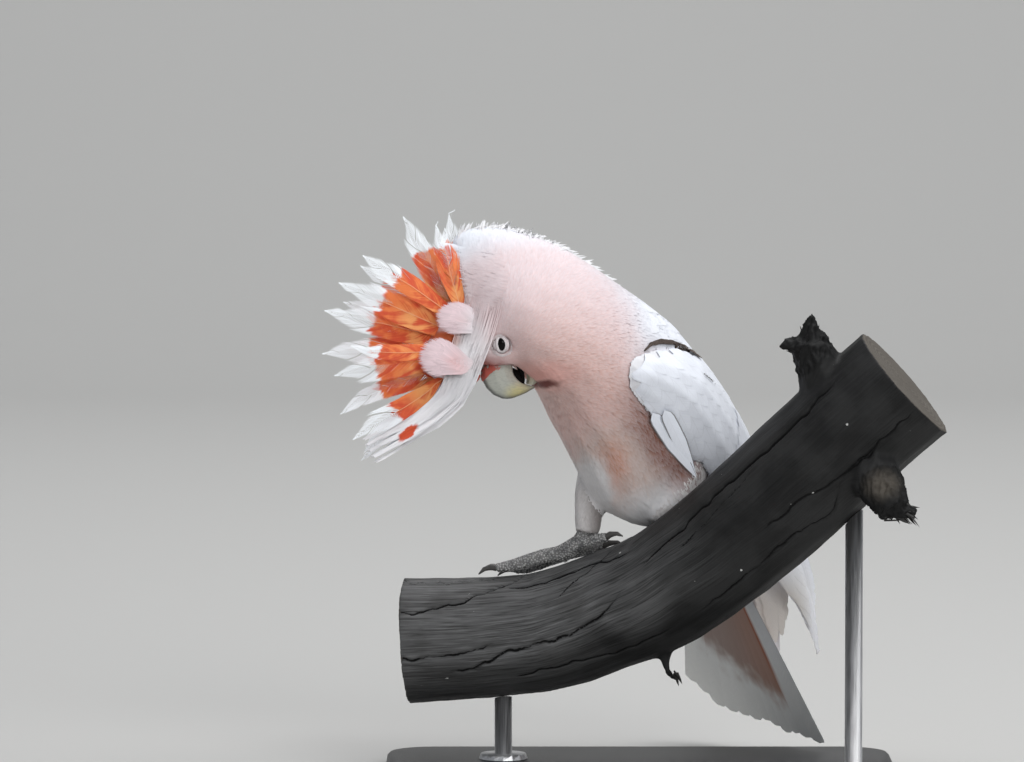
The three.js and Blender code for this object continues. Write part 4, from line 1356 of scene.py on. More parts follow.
# %% Crest tufts
# from the left eye in mm: base (x, z), circle centre (x, z), its half width and half height; outer blades
TUFTS = [
    ((-8, 11), (-26.5, 14.5), (11.0, 9.4), 190),
    ((-15.5, -11), (-36.0, -7.5), (11.2, 11.0), 210),
]
TUFT_SHADE = ((-91, 0, 252), (9, WIDE, 24), (0.84, 0.79, 0.82))
TUFT_FINISH = plain_plumage("tuft_plumage", (0.80, 0.50, 0.50), (0.83, 0.65, 0.68), shade=TUFT_SHADE)
rng = np.random.default_rng(91)
tuft_lines = []
for base, centre, reach, blades_out in TUFTS:
    base, centre = np.array(base), np.array(centre)
    heading = math.atan2(*(centre - base)[::-1])
    for layer, scale in enumerate((1.0, 0.86, 0.70, 0.52, 0.34)):
        count = int(blades_out * (0.45 + 0.55 * scale))
        turn = heading + np.linspace(-math.pi, math.pi, count) + rng.normal(0, 0.03, count)
        shrink = scale * rng.uniform(0.90, 1.03, count)
        tip = centre[None] + np.array(reach) * shrink[:, None] * np.stack([np.cos(turn), np.sin(turn)], -1)
        steps = np.array([0.06, 0.4, 0.78, 1.0])
        spring = base[None] + (centre - base)[None] * 0.10 * layer
        flat = spring[:, None] + (tip - spring)[:, None] * steps[None, :, None]
        bulge = (centre[None] - flat[:, 1]) * 0.10 + (tip - spring)[:, ::-1] * np.array((0.10, -0.10))
        flat[:, 1] -= bulge
        rise = np.array([-0.3, 0.9, 1.4, 0.4]) + 0.30 * layer * np.array([0.4, 0.9, 1.0, 1.0])
        rise = rise + rng.uniform(-0.12, 0.2, (count, 1))
        by_the_face = smoothstep(0.1, 0.9, -np.cos(turn - heading))[:, None]
        rise = rise - by_the_face * np.array([0.0, 0.7, 1.8, 2.8])
        depth = -1.2 + rise
        x, z = EYE_LEFT[0] + flat[..., 0] * MM, EYE_LEFT[2] + flat[..., 1] * MM
        wall = HEAD_MIDDLE[1] + HEAD_SIDE[0] / -HEAD_SIDE[1] * (x - HEAD_MIDDLE[0])
        tuft_lines.append(np.stack([x, wall - (14.8 + depth) * MM, z], -1))
tuft_lines, facing = both_sides(np.concatenate(tuft_lines))
outward = unit(tuft_lines[:, -1:] - tuft_lines[:, :1])
n = len(tuft_lines)
widths = rng.uniform(0.5, 0.75, n)[:, None] * np.array([0.7, 1.0, 0.95]) * MM
tufts = blades("crest_tufts", tuft_lines, widths, facing,
               skin_map(tuft_lines[:, -1]), rng.normal(0, 0.5, n), roof=0.3,
               sky=outward * np.array([0, 0, 0.1, 0.4])[None, :, None] + np.array((0, 0, 0.35)))
print("tufts:", n, "blades,", finish_coat(tufts, TUFT_FINISH, "plumage_pink"), "triangles")

# %% [markdown]
# ## The crown's front edge
# Where the crown meets the last crest feather, soft pale feathers lie over that feather's
# foot. Fine strands start on the skin along one guide line and end along another one, a few
# millimetres over the edge. Both lines are written from the left eye, as the plume's is.

# %% Crown edge
EDGE_ROOTS = np.array([(-21, 54), (-17.5, 42), (-16, 30), (-17, 20)]) * MM
EDGE_TIPS = np.array([(-36, 56.5), (-33.5, 45), (-28.6, 33), (-22.5, 23)]) * MM
rng = np.random.default_rng(93)
count = 1700
row = rng.uniform(0, 3, (count, 1))
first = 0.5 - 2.1 * rng.random((count, 1)) ** 1.3
last = np.minimum(first + rng.uniform(0.50, 0.65, (count, 1)), rng.uniform(0.82, 1.05, (count, 1)))
share = first + (last - first) * np.linspace(0, 1, 4)
ends = [[EYE_LEFT[2 * k] + np.interp(row, np.arange(4), line[:, k]) for k in (0, 1)]
        for line in (EDGE_ROOTS, EDGE_TIPS)]
x, z = (ends[0][k] + (ends[1][k] - ends[0][k]) * share for k in (0, 1))
lift = np.array([-0.6, 0.45, 0.8, 0.7]) + rng.uniform(-0.1, 0.25, (count, 1)) * smoothstep(-0.5, 0.4, share)
edge_lines, facing = both_sides(np.stack([x, reach_of(skin_form, x, z) - lift * MM, z], -1))
n = len(edge_lines)
over = smoothstep(-0.4, 0.7, np.concatenate([share, share]))[..., None]
widths = rng.uniform(0.35, 0.55, n)[:, None] * np.array([0.8, 1.0, 0.8]) * MM
up = unit(drape(skin_form, edge_lines)[1] * (1 - over) + facing * over)
edge = blades("crown_edge", edge_lines, widths, up, skin_map(edge_lines[:, 0]),
              rng.normal(0, 0.5, n), sky=np.array((0, 0, 0.6)) * over)
print("crown edge:", n, "blades,", finish_coat(edge, COAT_FINISH, "plumage_pink"), "triangles")

# %% [markdown]
# ## The wings
# A folded wing is a stack of feathers: small coverts in rows like roof tiles at the
# shoulder, longer ones below them, and the flight feathers under all of these with their
# points at the wing tip. The CAD wing, evened and thinned a little, is the bed they lie
# on. A chart of each wing, u down its length and v across it towards its front edge, turns
# flat feathers into ones that hug the bed: each point is dropped onto it from outside.

# %% Wing chart
WING_SINK = 0.9 * MM


def wing_chart(node, side_sign):
    """The evened bed of one wing and functions between places on it and (u, v)."""
    bed = copy_of(node + "_bed", node)
    even_form(bed, 1.2 * MM, 3)
    move_points(bed, points_of(bed) - normals_of(bed) * WING_SINK)
    co = points_of(bed)
    centre = co.mean(0)
    _, _, axes = np.linalg.svd(co - centre, full_matrices=False)
    down = axes[0] * (-1 if axes[0][2] > 0 else 1)
    out = axes[2] * (1 if np.dot(axes[2], HEAD_SIDE * side_sign) > 0 else -1)
    front = np.cross(out, down)
    front = front * (-1 if front[0] > 0 else 1)
    local = (co - centre) @ np.stack([down, front, out], 1)
    low, high = local.min(0), local.max(0)
    origin = centre + down * low[0]
    form = Form(bed)
    u_steps, v_steps = np.linspace(0, high[0] - low[0], 60), np.linspace(low[1], high[1], 90)

    def cast(u, v):
        """What a ray from outside hits at (u, v)."""
        return form.tree.ray_cast(Vector(origin + down * u + front * v + out * 0.09), Vector(-out))

    covered = np.array([[cast(a, b)[0] is not None for b in v_steps] for a in u_steps])
    back_edge = np.where(covered.any(1), v_steps[covered.argmax(1)], 0)
    front_edge = np.where(covered.any(1), v_steps[::-1][covered[:, ::-1].argmax(1)], 0)

    def held(u, v):
        """v kept on the bed, so that no feather folds over its edges."""
        low_v = np.interp(u, u_steps, back_edge) + 0.5 * MM
        high_v = np.interp(u, u_steps, front_edge) - 0.3 * MM
        inner = np.clip(v, low_v, high_v)
        return np.where(low_v < high_v, inner + 0.03 * (v - inner), v)

    def drop(u, v):
        """The place and normal on the bed under (u, v), or None twice beside the bed."""
        hit, _, index, _ = cast(u, v)
        if hit is None:
            return None, None
        return np.array(hit), unit(form.vertex_normals[form.tri[index]].sum(0))

    return {"bed": bed, "drop": drop, "held": held, "length": high[0] - low[0], "front": (low[1], high[1]),
            "down": down, "forward": front, "out": out, "origin": origin, "form": form}


print("wing chart ready")

# %% [markdown]
# ## Feathers on a wing, and their finish
# A wing feather is flat at first. Each of its points is looked up on the chart and dropped
# onto the bed; where a long feather reaches past the bed, it runs on in its last direction.
# The finish has fine lines along the barbs, a faint shaft and, if asked, dark rims of painted shadow.

# %% Wing feather tools
def laid_feather(chart, u, v, heading, length, half_width, base, lift, tone=0.0, shape=None, **more):
    """A feather laid on a wing from (u, v), turned by heading degrees towards the front edge."""
    turn = math.radians(heading)
    cos, sin = math.cos(turn), math.sin(turn)
    shape = shape or (lambda t: np.sin(np.pi * np.clip(t, 0, 1) ** 0.62) ** 0.62)

    def outline(t, side):
        return side * half_width * np.maximum(shape(np.asarray(t)), 0.02)

    def place(x, y, z):
        points, ups = np.empty(x.shape + (3,)), np.empty(x.shape + (3,))
        for i in range(x.shape[0]):
            last, last_n = None, chart["out"]
            for j in range(x.shape[1]):
                a, b = u + x[i, j] * cos - y[i, j] * sin, v + x[i, j] * sin + y[i, j] * cos
                b = float(chart["held"](a, b))
                hit, normal = chart["drop"](a, b)
                if hit is None and last is not None:
                    step = chart["down"] * (a - last[1]) + chart["forward"] * (b - last[2])
                    hit, normal = last[0] + step * 0.8 - last_n * np.linalg.norm(step) * 0.15, last_n
                elif hit is None:
                    beside = chart["origin"] + chart["down"] * a + chart["forward"] * b
                    hit = chart["form"].find_nearest(Vector(beside))[0]
                    hit, normal = np.array(hit), chart["out"]
                last, last_n = (hit, a, b), normal
                points[i, j] = hit + normal * (base + lift * x[i, j] / length + z[i, j])
                ups[i, j] = normal
        ahead = chart["down"] * cos + chart["forward"] * sin
        return points, ups, np.broadcast_to(ahead, points.shape)

    return {"length": length, "outline": outline, "place": place, "tone": tone, **more}


def wing_material(name, rim_shadow):
    """White wing feathers with greyish roots, buff far down, fine barbs and more or less dark rims of painted
    shadow.
    """
    material = new_material(name, WHITE, 0.6, Sheen_Weight=0.15)
    tree = material.node_tree
    roots = ramp_of(tree, read_attribute(tree, "along"), 0.6, 0.1, 0.0, 0.25)
    colour = mix_of(tree, roots, (0.88, 0.91, 0.98), (0.76, 0.79, 0.87))
    split = tree.nodes.new("ShaderNodeSeparateXYZ")
    tree.links.new(object_position(tree), split.inputs[0])
    buff = ramp_of(tree, split.outputs["Z"], 0.130, 0.085, 0.0, 0.75)
    buff = times(tree, buff, ramp_of(tree, split.outputs["X"], 0.112, 0.090))
    colour = mix_of(tree, buff, colour, (0.62, 0.56, 0.48))
    side = size_of(tree, read_attribute(tree, "across"))
    colour = mix_of(tree, ramp_of(tree, side, 0.05, 0.0, 0.0, 0.25), colour, (0.60, 0.60, 0.62))
    # painted shadow along each vane's rim
    colour = mix_of(tree, ramp_of(tree, side, 0.80, 0.90, 0.0, rim_shadow), colour, (0.10, 0.09, 0.09))
    return paint(material, toned(tree, barb_lines(tree, colour, 0.16), read_attribute(tree, "tone"), 0.04))


# faint painted rim shadow on all wing feathers, a strong one on the two long coverts
WING_FINISH = wing_material("wing_plumage", 0.10)
RIM_SHADOW_FINISH = wing_material("wing_rim_shadow_plumage", 0.85)
BED_FINISH = new_material("wing_bed_down", (0.80, 0.80, 0.83), 0.8)
tree = BED_FINISH.node_tree
soft = noise_of(tree, object_position(tree), 3)
paint(BED_FINISH, mix_of(tree, soft, (0.74, 0.74, 0.77), (0.84, 0.84, 0.87)))
print("wing feather tools ready")

# %% [markdown]
# ## Laying the wing feathers
# The flight feathers go down first, eight long ones that narrow to the wing tip and nine
# shorter ones above them. Then come the coverts, row by row from the last row up to the
# shoulder, each row shifted by half a gap, as a roofer lays tiles. Both wings use the same
# seed, so one is nearly the other's mirror image.

# %% Wing feathers
def flight_shape(t):
    """The half width of a flight feather along its length, as a share of its widest place."""
    return np.minimum(1, np.clip(t, 0, 1) / 0.25) ** 0.5 * np.clip((1.0 - t) / 0.22, 0, 1) ** 0.55


def pointed_shape(t):
    """The same for a long covert, which narrows over its last half."""
    body = np.clip(t / 0.10, 0, 1) ** 0.45 * (0.82 + 0.18 * np.sin(np.pi * t))
    return body * np.clip((1.0 - t) / 0.50, 0, 1) ** 0.7


COVERT_STEP, COVERT_GAP = 8.5 * MM, 7.5 * MM
charts = {}
for node, side_sign in (("wing_left", 1), ("wing_right", -1)):
    chart = charts[node] = wing_chart(node, side_sign)
    length, (back, fore) = chart["length"], chart["front"]
    rng = np.random.default_rng(31)
    flight, coverts = [], []
    for i, v in enumerate(np.linspace(fore * 0.62, back * 0.55, 8)):
        size = length * (0.50 - 0.03 * i)
        flight.append(laid_feather(
            chart, length * (0.93 - 0.03 * i) - size, v * 0.55, 0.45 * (3.5 - i), size, 6.6 * MM,
            0.15 * MM + 0.12 * MM * i, 0.3 * MM, 0.3 * rng.normal(), flight_shape, notch=0.35))
    for i, v in enumerate(np.linspace(fore * 0.75, back * 0.8, 9)):
        flight.append(laid_feather(
            chart, length * (0.40 - 0.008 * i), v * 0.85, -3 * np.sign(v), length * 0.34, 7.8 * MM,
            0.6 * MM + 0.08 * MM * i, 0.3 * MM, 0.3 * rng.normal(), flight_shape, notch=0.15))
    rows = np.arange(int(length * 0.47 / COVERT_STEP))[::-1]
    for row in rows:
        u = 2 * MM + row * COVERT_STEP
        for v in np.arange(back, fore, COVERT_GAP) + (row % 2) * COVERT_GAP / 2:
            if chart["drop"](u + 3 * MM, v)[0] is None:
                continue
            size = (15 + 0.9 * row) * MM * rng.uniform(0.92, 1.08)
            coverts.append(laid_feather(
                chart, u, v, rng.normal(0, 2.5), size, (5.4 + 0.18 * row) * MM,
                0.25 * MM + 0.05 * MM * (len(rows) - row), 0.30 * MM, 0.3 * rng.normal()))
    for label, group, grid in (("flight", flight, (26, 3)), ("coverts", coverts, (8, 3))):
        o = vane_sheets(node + "_" + label, group, *grid, seed=41, camber=0.35 * MM)
        print(o.name, len(group), "feathers,", finish_coat(o, WING_FINISH, "plumage_white", node), "faces")
    finish_coat(chart["bed"], BED_FINISH, "plumage_white")

# %% [markdown]
# ## Loose feathers
# At the wing's front edge two long narrow feathers lie over the coverts, with thin dark rims painted as the
# shadow along their edges. Below the branch the flight feathers part into a buff, rounded group and a white,
# worn one. The first kind is placed by its two ends as they are seen from the side, and is fitted to the
# bird's surface; the second stands free between two points.

# %% Loose feathers
whole_form = Form(skin, charts["wing_left"]["bed"])
LONG_COVERTS = [  # root and tip (x, z) in mm, half width
    ((6.3, 209.5), (32.0, 170.5), 4.7), ((13.2, 211.2), (31.6, 172.5), 4.4),
]
FREE_FEATHERS = [  # root (x, y, z), tip (x, y, z) in mm, half width
    ((58, 66, 150), (76, 76, 72), 5.0), ((61, 66, 150), (80.5, 77, 67), 5.4),
    ((65, 67, 150), (84.5, 79, 71), 5.4), ((69, 68, 148), (86.5, 80, 80), 5.0),
    ((73, 64, 150), (95.5, 82, 86), 4.0), ((75, 63, 150), (101, 86, 73), 3.8),
    ((78, 62, 150), (104.8, 88, 69), 3.8), ((82, 62, 152), (103.5, 87, 88), 3.6),
]


def seen_feather(form, root, tip, half_width, rise, **more):
    """A straight feather over a form. Its root and tip are (x, z) in mm, seen from the bird's left."""
    root, tip = np.array(root) * MM, np.array(tip) * MM
    length = float(np.linalg.norm(tip - root))
    way = (tip - root) / length
    beside = np.array((-way[1], way[0]))

    def terms(x, y):
        """What the feather's gentle curve is fitted with: a height, a slope, a bow and a tilt."""
        return np.stack([np.ones_like(x), x, x * x, y], -1)

    grid = np.meshgrid(np.linspace(0, length, 14), np.linspace(-0.6, 0.6, 5) * half_width * MM)
    gx, gy = (g.ravel() for g in grid)
    flat = root + gx[:, None] * way + gy[:, None] * beside
    reach = facing_side(form, flat[:, 0], flat[:, 1], limit=0.05)
    known = ~np.isnan(reach)
    bend = np.linalg.lstsq(terms(gx, gy)[known], reach[known], rcond=None)[0]
    slack = np.percentile(terms(gx, gy)[known] @ bend - reach[known], 90)

    def outline(t, side):
        return side * half_width * MM * np.maximum(pointed_shape(np.asarray(t)), 0.02)

    def place(x, y, z):
        flat = root + x[..., None] * way + y[..., None] * beside
        depth = terms(x, y) @ bend - max(slack, 0) - rise - z + 0.06 * np.abs(y)
        points = np.stack([flat[..., 0], depth, flat[..., 1]], -1)
        up, ahead = (0, -1.0, 0), (way[0], 0, way[1])
        return points, np.broadcast_to(up, points.shape), np.broadcast_to(ahead, points.shape)

    return {"length": length, "outline": outline, "place": place, **more}


def free_feather(root, tip, half_width, **more):
    """A feather standing free between two points."""
    root, tip = np.array(root) * MM, np.array(tip) * MM
    way = unit(tip - root)
    out = unit(np.array((0.30, -0.95, 0.15)) - way * np.dot((0.30, -0.95, 0.15), way))
    beside = np.cross(out, way)
    length = float(np.linalg.norm(tip - root))

    def outline(t, side):
        return side * half_width * MM * np.maximum(flight_shape(np.asarray(t)), 0.02)

    def place(x, y, z):
        bow = 2.2 * MM * np.sin(math.pi * x / length)
        points = root + x[..., None] * way + (y + bow)[..., None] * beside
        points = points + (z - 0.04 * np.abs(y))[..., None] * out
        return points, np.broadcast_to(out, points.shape), np.broadcast_to(way, points.shape)

    return {"length": length, "outline": outline, "place": place, "sky": (0, 0, 0.25), **more}


longs = [
    seen_feather(whole_form, *spec, (1.5 + 0.5 * i) * MM, tone=0.6 - 0.3 * i, sky=(0, 0, 0.15))
    for i, spec in enumerate(LONG_COVERTS)
]
o = vane_sheets("wing_left_long_coverts", longs, 22, 6, seed=43, camber=0.8 * MM)
print("long coverts:", len(longs), "feathers,", finish_coat(o, RIM_SHADOW_FINISH, "plumage_white"), "faces")
frees = [free_feather(*f, notch=0.45, tone=0.2 * (i % 3) - 0.2) for i, f in enumerate(FREE_FEATHERS)]
tips = vane_sheets("wing_tip_feathers", frees, 34, 4, seed=55, camber=0.5 * MM)
print("wing tips:", len(FREE_FEATHERS), "feathers,", finish_coat(tips, WING_FINISH, "plumage_white"), "faces")

# %% [markdown]
# ## Painted shade in the wing's gaps
# Painted shade fills the crescent where the mantle lifts off the wing, and one small notch on the wing's
# front edge. It is made of short fine near-black blades along guide lines, just over the surface, without the
# sheen of the outer feathers, because it stands for shade.

# %% Painted gap shade
GAP_SHADE_LINES = [  # guide points (x, z) and half widths in mm, number of blades, height over the bed in mm
    ([(0.5, 244.0), (4, 247.2), (10, 248.4), (17, 247.2), (24.5, 243.6), (30, 239.8), (34, 236.6)],
     [0.2, 0.8, 1.2, 1.0, 0.7, 0.45, 0.15], 460, 1.6),
    ([(34.5, 229.5), (38, 226.5), (41.5, 222.5)], [0.1, 0.3, 0.1], 20, 1.6),
]
# painted shade: the near-black blades of the crescent and the notch
GAP_SHADE = plain_plumage("gap_painted_shade", (0.045, 0.032, 0.027), (0.10, 0.075, 0.062), variation=0.3, sheen=0)
rng = np.random.default_rng(57)
paths, ups_of_gap_shade = [], []
for guide, half, count, rise in GAP_SHADE_LINES:
    guide = np.array(guide)
    t = rng.uniform(0, 0.95, count)[:, None] + np.array([0, 0.02, 0.04, 0.055])[None]
    steps = np.linspace(0, 1, len(guide))
    side = rng.uniform(-1, 1, count)[:, None] * np.interp(t, steps, half)
    x = np.interp(t, steps, guide[:, 0]) * MM
    z = (np.interp(t, steps, guide[:, 1]) + side) * MM
    y = facing_side(whole_form, x, z, limit=0.05)
    y = np.nanmean(np.where(np.isnan(y), np.nanmean(y), y), 1, keepdims=True) + 0 * x
    line = np.stack([x, y, z], -1)
    normal = drape(whole_form, line)[1]
    paths.append(line + normal * (rise + np.array([0, 0.35, 0.45, 0.35]))[None, :, None] * MM)
    ups_of_gap_shade.append(normal)
paths, normal = np.concatenate(paths), np.concatenate(ups_of_gap_shade)
gap = blades("wing_gap_painted_shade", paths, np.full((len(paths), 3), 0.36 * MM), normal, skin_map(paths[:, 0]),
             rng.normal(0, 0.5, len(paths)))
print("down:", len(paths), "blades,", finish_coat(gap, GAP_SHADE, "plumage_white"), "triangles")

# %% [markdown]
# ## The tail
# Twelve feathers open like a half-closed fan below the branch, seen from underneath. The
# directions of the fan are the same three turns that place it in the CAD part: the bird's
# yaw, the drop of the tail and its roll. Every feather is a smooth vane that widens towards
# its end, the outer ones lying under the inner ones.

# %% Tail
TAIL_ROOT = np.array((33, 48 * math.tan(math.radians(38)), 147.5)) * MM
TAIL_YAW, TAIL_DROP, TAIL_ROLL, TAIL_SPREAD = (math.radians(a) for a in (36, 62, 12, 43.6))
TAIL_FEATHERS, TAIL_LENGTH = 12, 147.5
body_back = np.array((math.cos(TAIL_YAW), math.sin(TAIL_YAW), 0))
body_left = np.array((math.sin(TAIL_YAW), -math.cos(TAIL_YAW), 0))
straight_down = np.array((0, 0, -1.0))
tail_across = body_left * math.cos(TAIL_ROLL) + straight_down * math.sin(TAIL_ROLL)
rolled_down = straight_down * math.cos(TAIL_ROLL) - body_left * math.sin(TAIL_ROLL)
tail_along = body_back * math.cos(TAIL_DROP) + rolled_down * math.sin(TAIL_DROP)
tail_top = body_back * math.sin(TAIL_DROP) - rolled_down * math.cos(TAIL_DROP)


def tail_feather(i):
    """One vane of the fan: x runs outwards from the fan's root, y across the feather."""
    middle_t = (i + 0.5) / TAIL_FEATHERS - 0.5
    swell = 7 * max(0, -math.sin(2 * math.pi * middle_t))
    length = (TAIL_LENGTH + swell - 0.6 + 1.2 * math.sin(4.1 * i)) * MM

    def outline(t, side):
        s = np.asarray(t) * length
        half = (s * TAIL_SPREAD + 22 * MM * np.minimum(1, 0.35 + s / (90 * MM))) / TAIL_FEATHERS / 2
        return side * half * 1.5 * np.maximum(np.clip((1.0 - np.asarray(t)) / 0.045, 0, 1) ** 0.3, 0.03)

    def place(x, y, z):
        root_half = 11 * MM * np.minimum(1, 0.35 + x / (90 * MM))
        edge = middle_t * TAIL_SPREAD + y / np.maximum(x + root_half, 4 * MM) * 0.98
        edge = np.clip(edge, -TAIL_SPREAD / 2, TAIL_SPREAD / 2)
        lateral = edge / TAIL_SPREAD
        outer = 4.6 * MM * smoothstep(0.34, 0.5, lateral) * smoothstep(0, 30 * MM, x)
        height = -z - 0.02 * x * np.abs(lateral) * 2 - (0.2 + 1.5 * abs(middle_t)) * MM
        sideways = x * np.sin(edge) + 2 * lateral * root_half + outer
        points = TAIL_ROOT + (x * np.cos(edge))[..., None] * tail_along + sideways[..., None] * tail_across
        points = points + height[..., None] * tail_top
        return points, np.broadcast_to(-tail_top, points.shape), np.broadcast_to(tail_along, points.shape)

    return {"length": length, "outline": outline, "place": place, "tone": 0.5 * math.sin(5 * i),
            "fan": middle_t, "fan_half": 0.62 / TAIL_FEATHERS, "notch": 0.10, "sky": (0, 0, 0.2)}


def tail_material():
    """Greyish white, with a warm brownish zone, one deep orange line of painted shade in the fold beside the
    outermost feather's shaft, and white outer webs.
    """
    material = new_material("tail_plumage", WHITE, 0.65, Sheen_Weight=0.15)
    tree = material.node_tree
    along, tone, fan, side = (read_attribute(tree, name) for name in ("along", "tone", "fan", "across"))
    wobble = times(tree, minus(tree, noise_of(tree, object_position(tree), 14), 0.5), 0.22)
    ends_at = math_node(tree, "MULTIPLY_ADD", fan, 0.24, 0.80).outputs[0]
    beyond = plus(tree, minus(tree, along, ends_at), wobble)
    warm = times(tree, ramp_of(tree, beyond, 0.06, -0.10), ramp_of(tree, fan, 0.36, 0.34))
    warm = times(tree, warm, ramp_of(tree, fan, -0.44, -0.30))
    colour = mix_of(tree, ramp_of(tree, along, 0.55, 1.0), (0.93, 0.94, 0.93), (0.93, 0.93, 0.90))
    warm_tint = mix_of(tree, ramp_of(tree, fan, -0.2, 0.3), (0.40, 0.29, 0.25), (0.46, 0.25, 0.18))
    colour = mix_of(tree, warm, colour, warm_tint)
    # painted shade: a deep orange line in the fold beside the outermost feather's shaft
    off_fold_shade = size_of(tree, minus(tree, fan, 0.340))
    line = times(tree, ramp_of(tree, off_fold_shade, 0.040, 0.008), ramp_of(tree, along, 0.86, 0.62))
    colour = mix_of(tree, line, colour, (0.42, 0.11, 0.035))
    outer_web = times(tree, ramp_of(tree, fan, 0.375, 0.40), ramp_of(tree, along, 0.75, 0.5))
    colour = mix_of(tree, outer_web, colour, (0.93, 0.94, 0.96))
    rim = ramp_of(tree, size_of(tree, side), 0.90, 0.98, 0.0, 0.22)
    colour = mix_of(tree, rim, colour, (0.95, 0.95, 0.95))
    return paint(material, toned(tree, barb_lines(tree, colour, 0.14), tone, 0.05))


TAIL_FINISH = tail_material()
order = sorted(range(TAIL_FEATHERS), key=lambda i: abs(i - 5.5))
tail_fan = vane_sheets("tail_fan", [tail_feather(i) for i in order], 40, 5, seed=51, camber=0.35 * MM)
print("tail fan", finish_coat(tail_fan, TAIL_FINISH, "plumage_white", "tail"), "faces")

# %% [markdown]
# ## The branch
# The perch is a thick dead limb, charred and weathered, with long drying cracks. Its CAD
# form is remeshed finely, and its points are then moved in and out like a carver's gouge
# would: broad lumps, fine grain ridges, and cracks. The cracks of the front are drawn as
# the lines that a viewer sees, the others run along the limb at a given angle. Each point
# also stores where it is along and around the limb, so that the grain follows the bends.

# %% Branch carving
LIMB_AXIS = [  # the limb's middle line in mm
    (-134, 22, 74), (-91, 18, 76), (-51, 11, 81), (-17, 1, 93), (11, -12, 105.5), (39, -25, 126.5),
    (67, -35, 151.5), (95, -42, 179), (123, -47, 206.5), (148, -51, 228.5),
]
GIRTH = 36 * MM
SEEN_CRACKS = [  # guide points (x, z) and depth and half width, in mm
    ([(-146, 93), (-123, 93.5), (-102, 99.5), (-85, 106), (-66, 113), (-52, 118)], 2.2, 0.75),
    ([(-142, 67), (-127, 66.5), (-110, 69.5), (-94, 72), (-81, 78.5)], 2.0, 0.7),
    ([(-110, 57.5), (-92.5, 62.5), (-77, 72), (-67.5, 74), (-58, 77), (-44.5, 80.5), (-33, 87), (-23.5, 94),
      (-16, 103.5), (-10, 113)], 2.6, 0.85),
    ([(33, 97), (48, 110.5), (62, 122), (75, 134), (87, 144), (100.5, 151.5), (108, 156), (109.5, 165.5),
      (112, 176), (116, 182.5)], 2.2, 0.75),
    ([(-48.5, 101.5), (-37, 113), (-23.5, 124.5), (-10, 134)], 1.0, 0.5),
    ([(-148, 109), (-120, 108.5), (-90.5, 109.5), (-68, 115)], 1.2, 0.5),
    ([(20, 133), (42, 157), (58, 176), (70, 186)], 0.8, 0.45),
]
# start and length along the limb in mm, angle from the top and its drift, depth and half width in mm
CRACKS = [
    (60, 110, -0.5, 0.20, 1.8, 0.8), (160, 170, -1.1, -0.30, 2.2, 0.8), (60, 110, -2.2, 0.20, 1.4, 0.7),
    (230, 120, -1.9, 0.25, 1.5, 0.7), (90, 200, 2.75, 0.15, 1.8, 0.7),
]


def lattice_noise(x, y, seed):
    """Smooth noise from -1 to 1 over two coordinates, from a seeded lattice."""
    table = np.random.default_rng(seed).uniform(-1, 1, (256, 256))
    xi, yi = np.floor(x).astype(int), np.floor(y).astype(int)
    fx, fy = x - xi, y - yi
    fx, fy = fx * fx * (3 - 2 * fx), fy * fy * (3 - 2 * fy)
    pick = lambda a, b: table[a % 256, b % 256]
    top = pick(xi, yi) * (1 - fx) + pick(xi + 1, yi) * fx
    low = pick(xi, yi + 1) * (1 - fx) + pick(xi + 1, yi + 1) * fx
    return top * (1 - fy) + low * fy


def travel_along(points):
    """The distance walked along a line of points, for each of them."""
    return np.concatenate([[0], np.cumsum(np.linalg.norm(np.diff(points, axis=0), axis=1))])


def even_curve(points, step, ease=2):
    """Points about one step apart along a guide, its corners rounded."""
    points = np.array(points, float)
    travel = travel_along(points)
    at = np.arange(0, travel[-1], step)
    line = np.stack([np.interp(at, travel, points[:, k]) for k in range(points.shape[1])], -1)
    for _ in range(int(ease * travel[-1] / len(points) / step)):
        line[1:-1] = (line[:-2] + 2 * line[1:-1] + line[2:]) / 4
    return line


perch = copy_of("perch_bark", "perch_branch")
even_form(perch, 1.0 * MM, 6)
co = points_of(perch)
guide = np.array(LIMB_AXIS, float) * MM
guide = np.concatenate([guide[:1] * 4 - guide[1:2] * 3, guide, guide[-1:] * 4 - guide[-2:-1] * 3])
fine = even_curve(guide, 2.5 * MM, ease=1)
travel = travel_along(fine)
axis_tree = point_tree(fine)
nearest_axis = np.array([axis_tree.find(p)[1] for p in co])
heading = unit(np.gradient(fine, axis=0))[nearest_axis]
arm = co - fine[nearest_axis]
along_limb = travel[nearest_axis] + (arm * heading).sum(1)
along_limb -= along_limb.min()
arm -= (arm * heading).sum(1, keepdims=True) * heading
upward = unit(np.array((0, 0, 1.0)) - heading * heading[:, 2:3])
sideward = np.cross(heading, upward)
around = np.arctan2((arm * sideward).sum(1), (arm * upward).sum(1))
radius = np.linalg.norm(arm, axis=1)
toward_viewer = np.sign(sideward[:, 1].mean()) * -1
print("branch:", len(perch.data.polygons), "faces, length", round(float(np.ptp(along_limb)), 3), "m")

# %% [markdown]
# ## Knots, a darker end, painted underside shade and lumps
# Where the form is thicker than a plain limb there is a knot or a stub: only the sound wood between is
# smoothed on. One mask darkens the wood towards the thin end and paints shade on the underside. Broad lumps
# and fine ridges come from smooth noise over the limb's own length and girth.

# %% Branch relief
sound = smoothstep(GIRTH * 1.28, GIRTH * 1.12, radius)
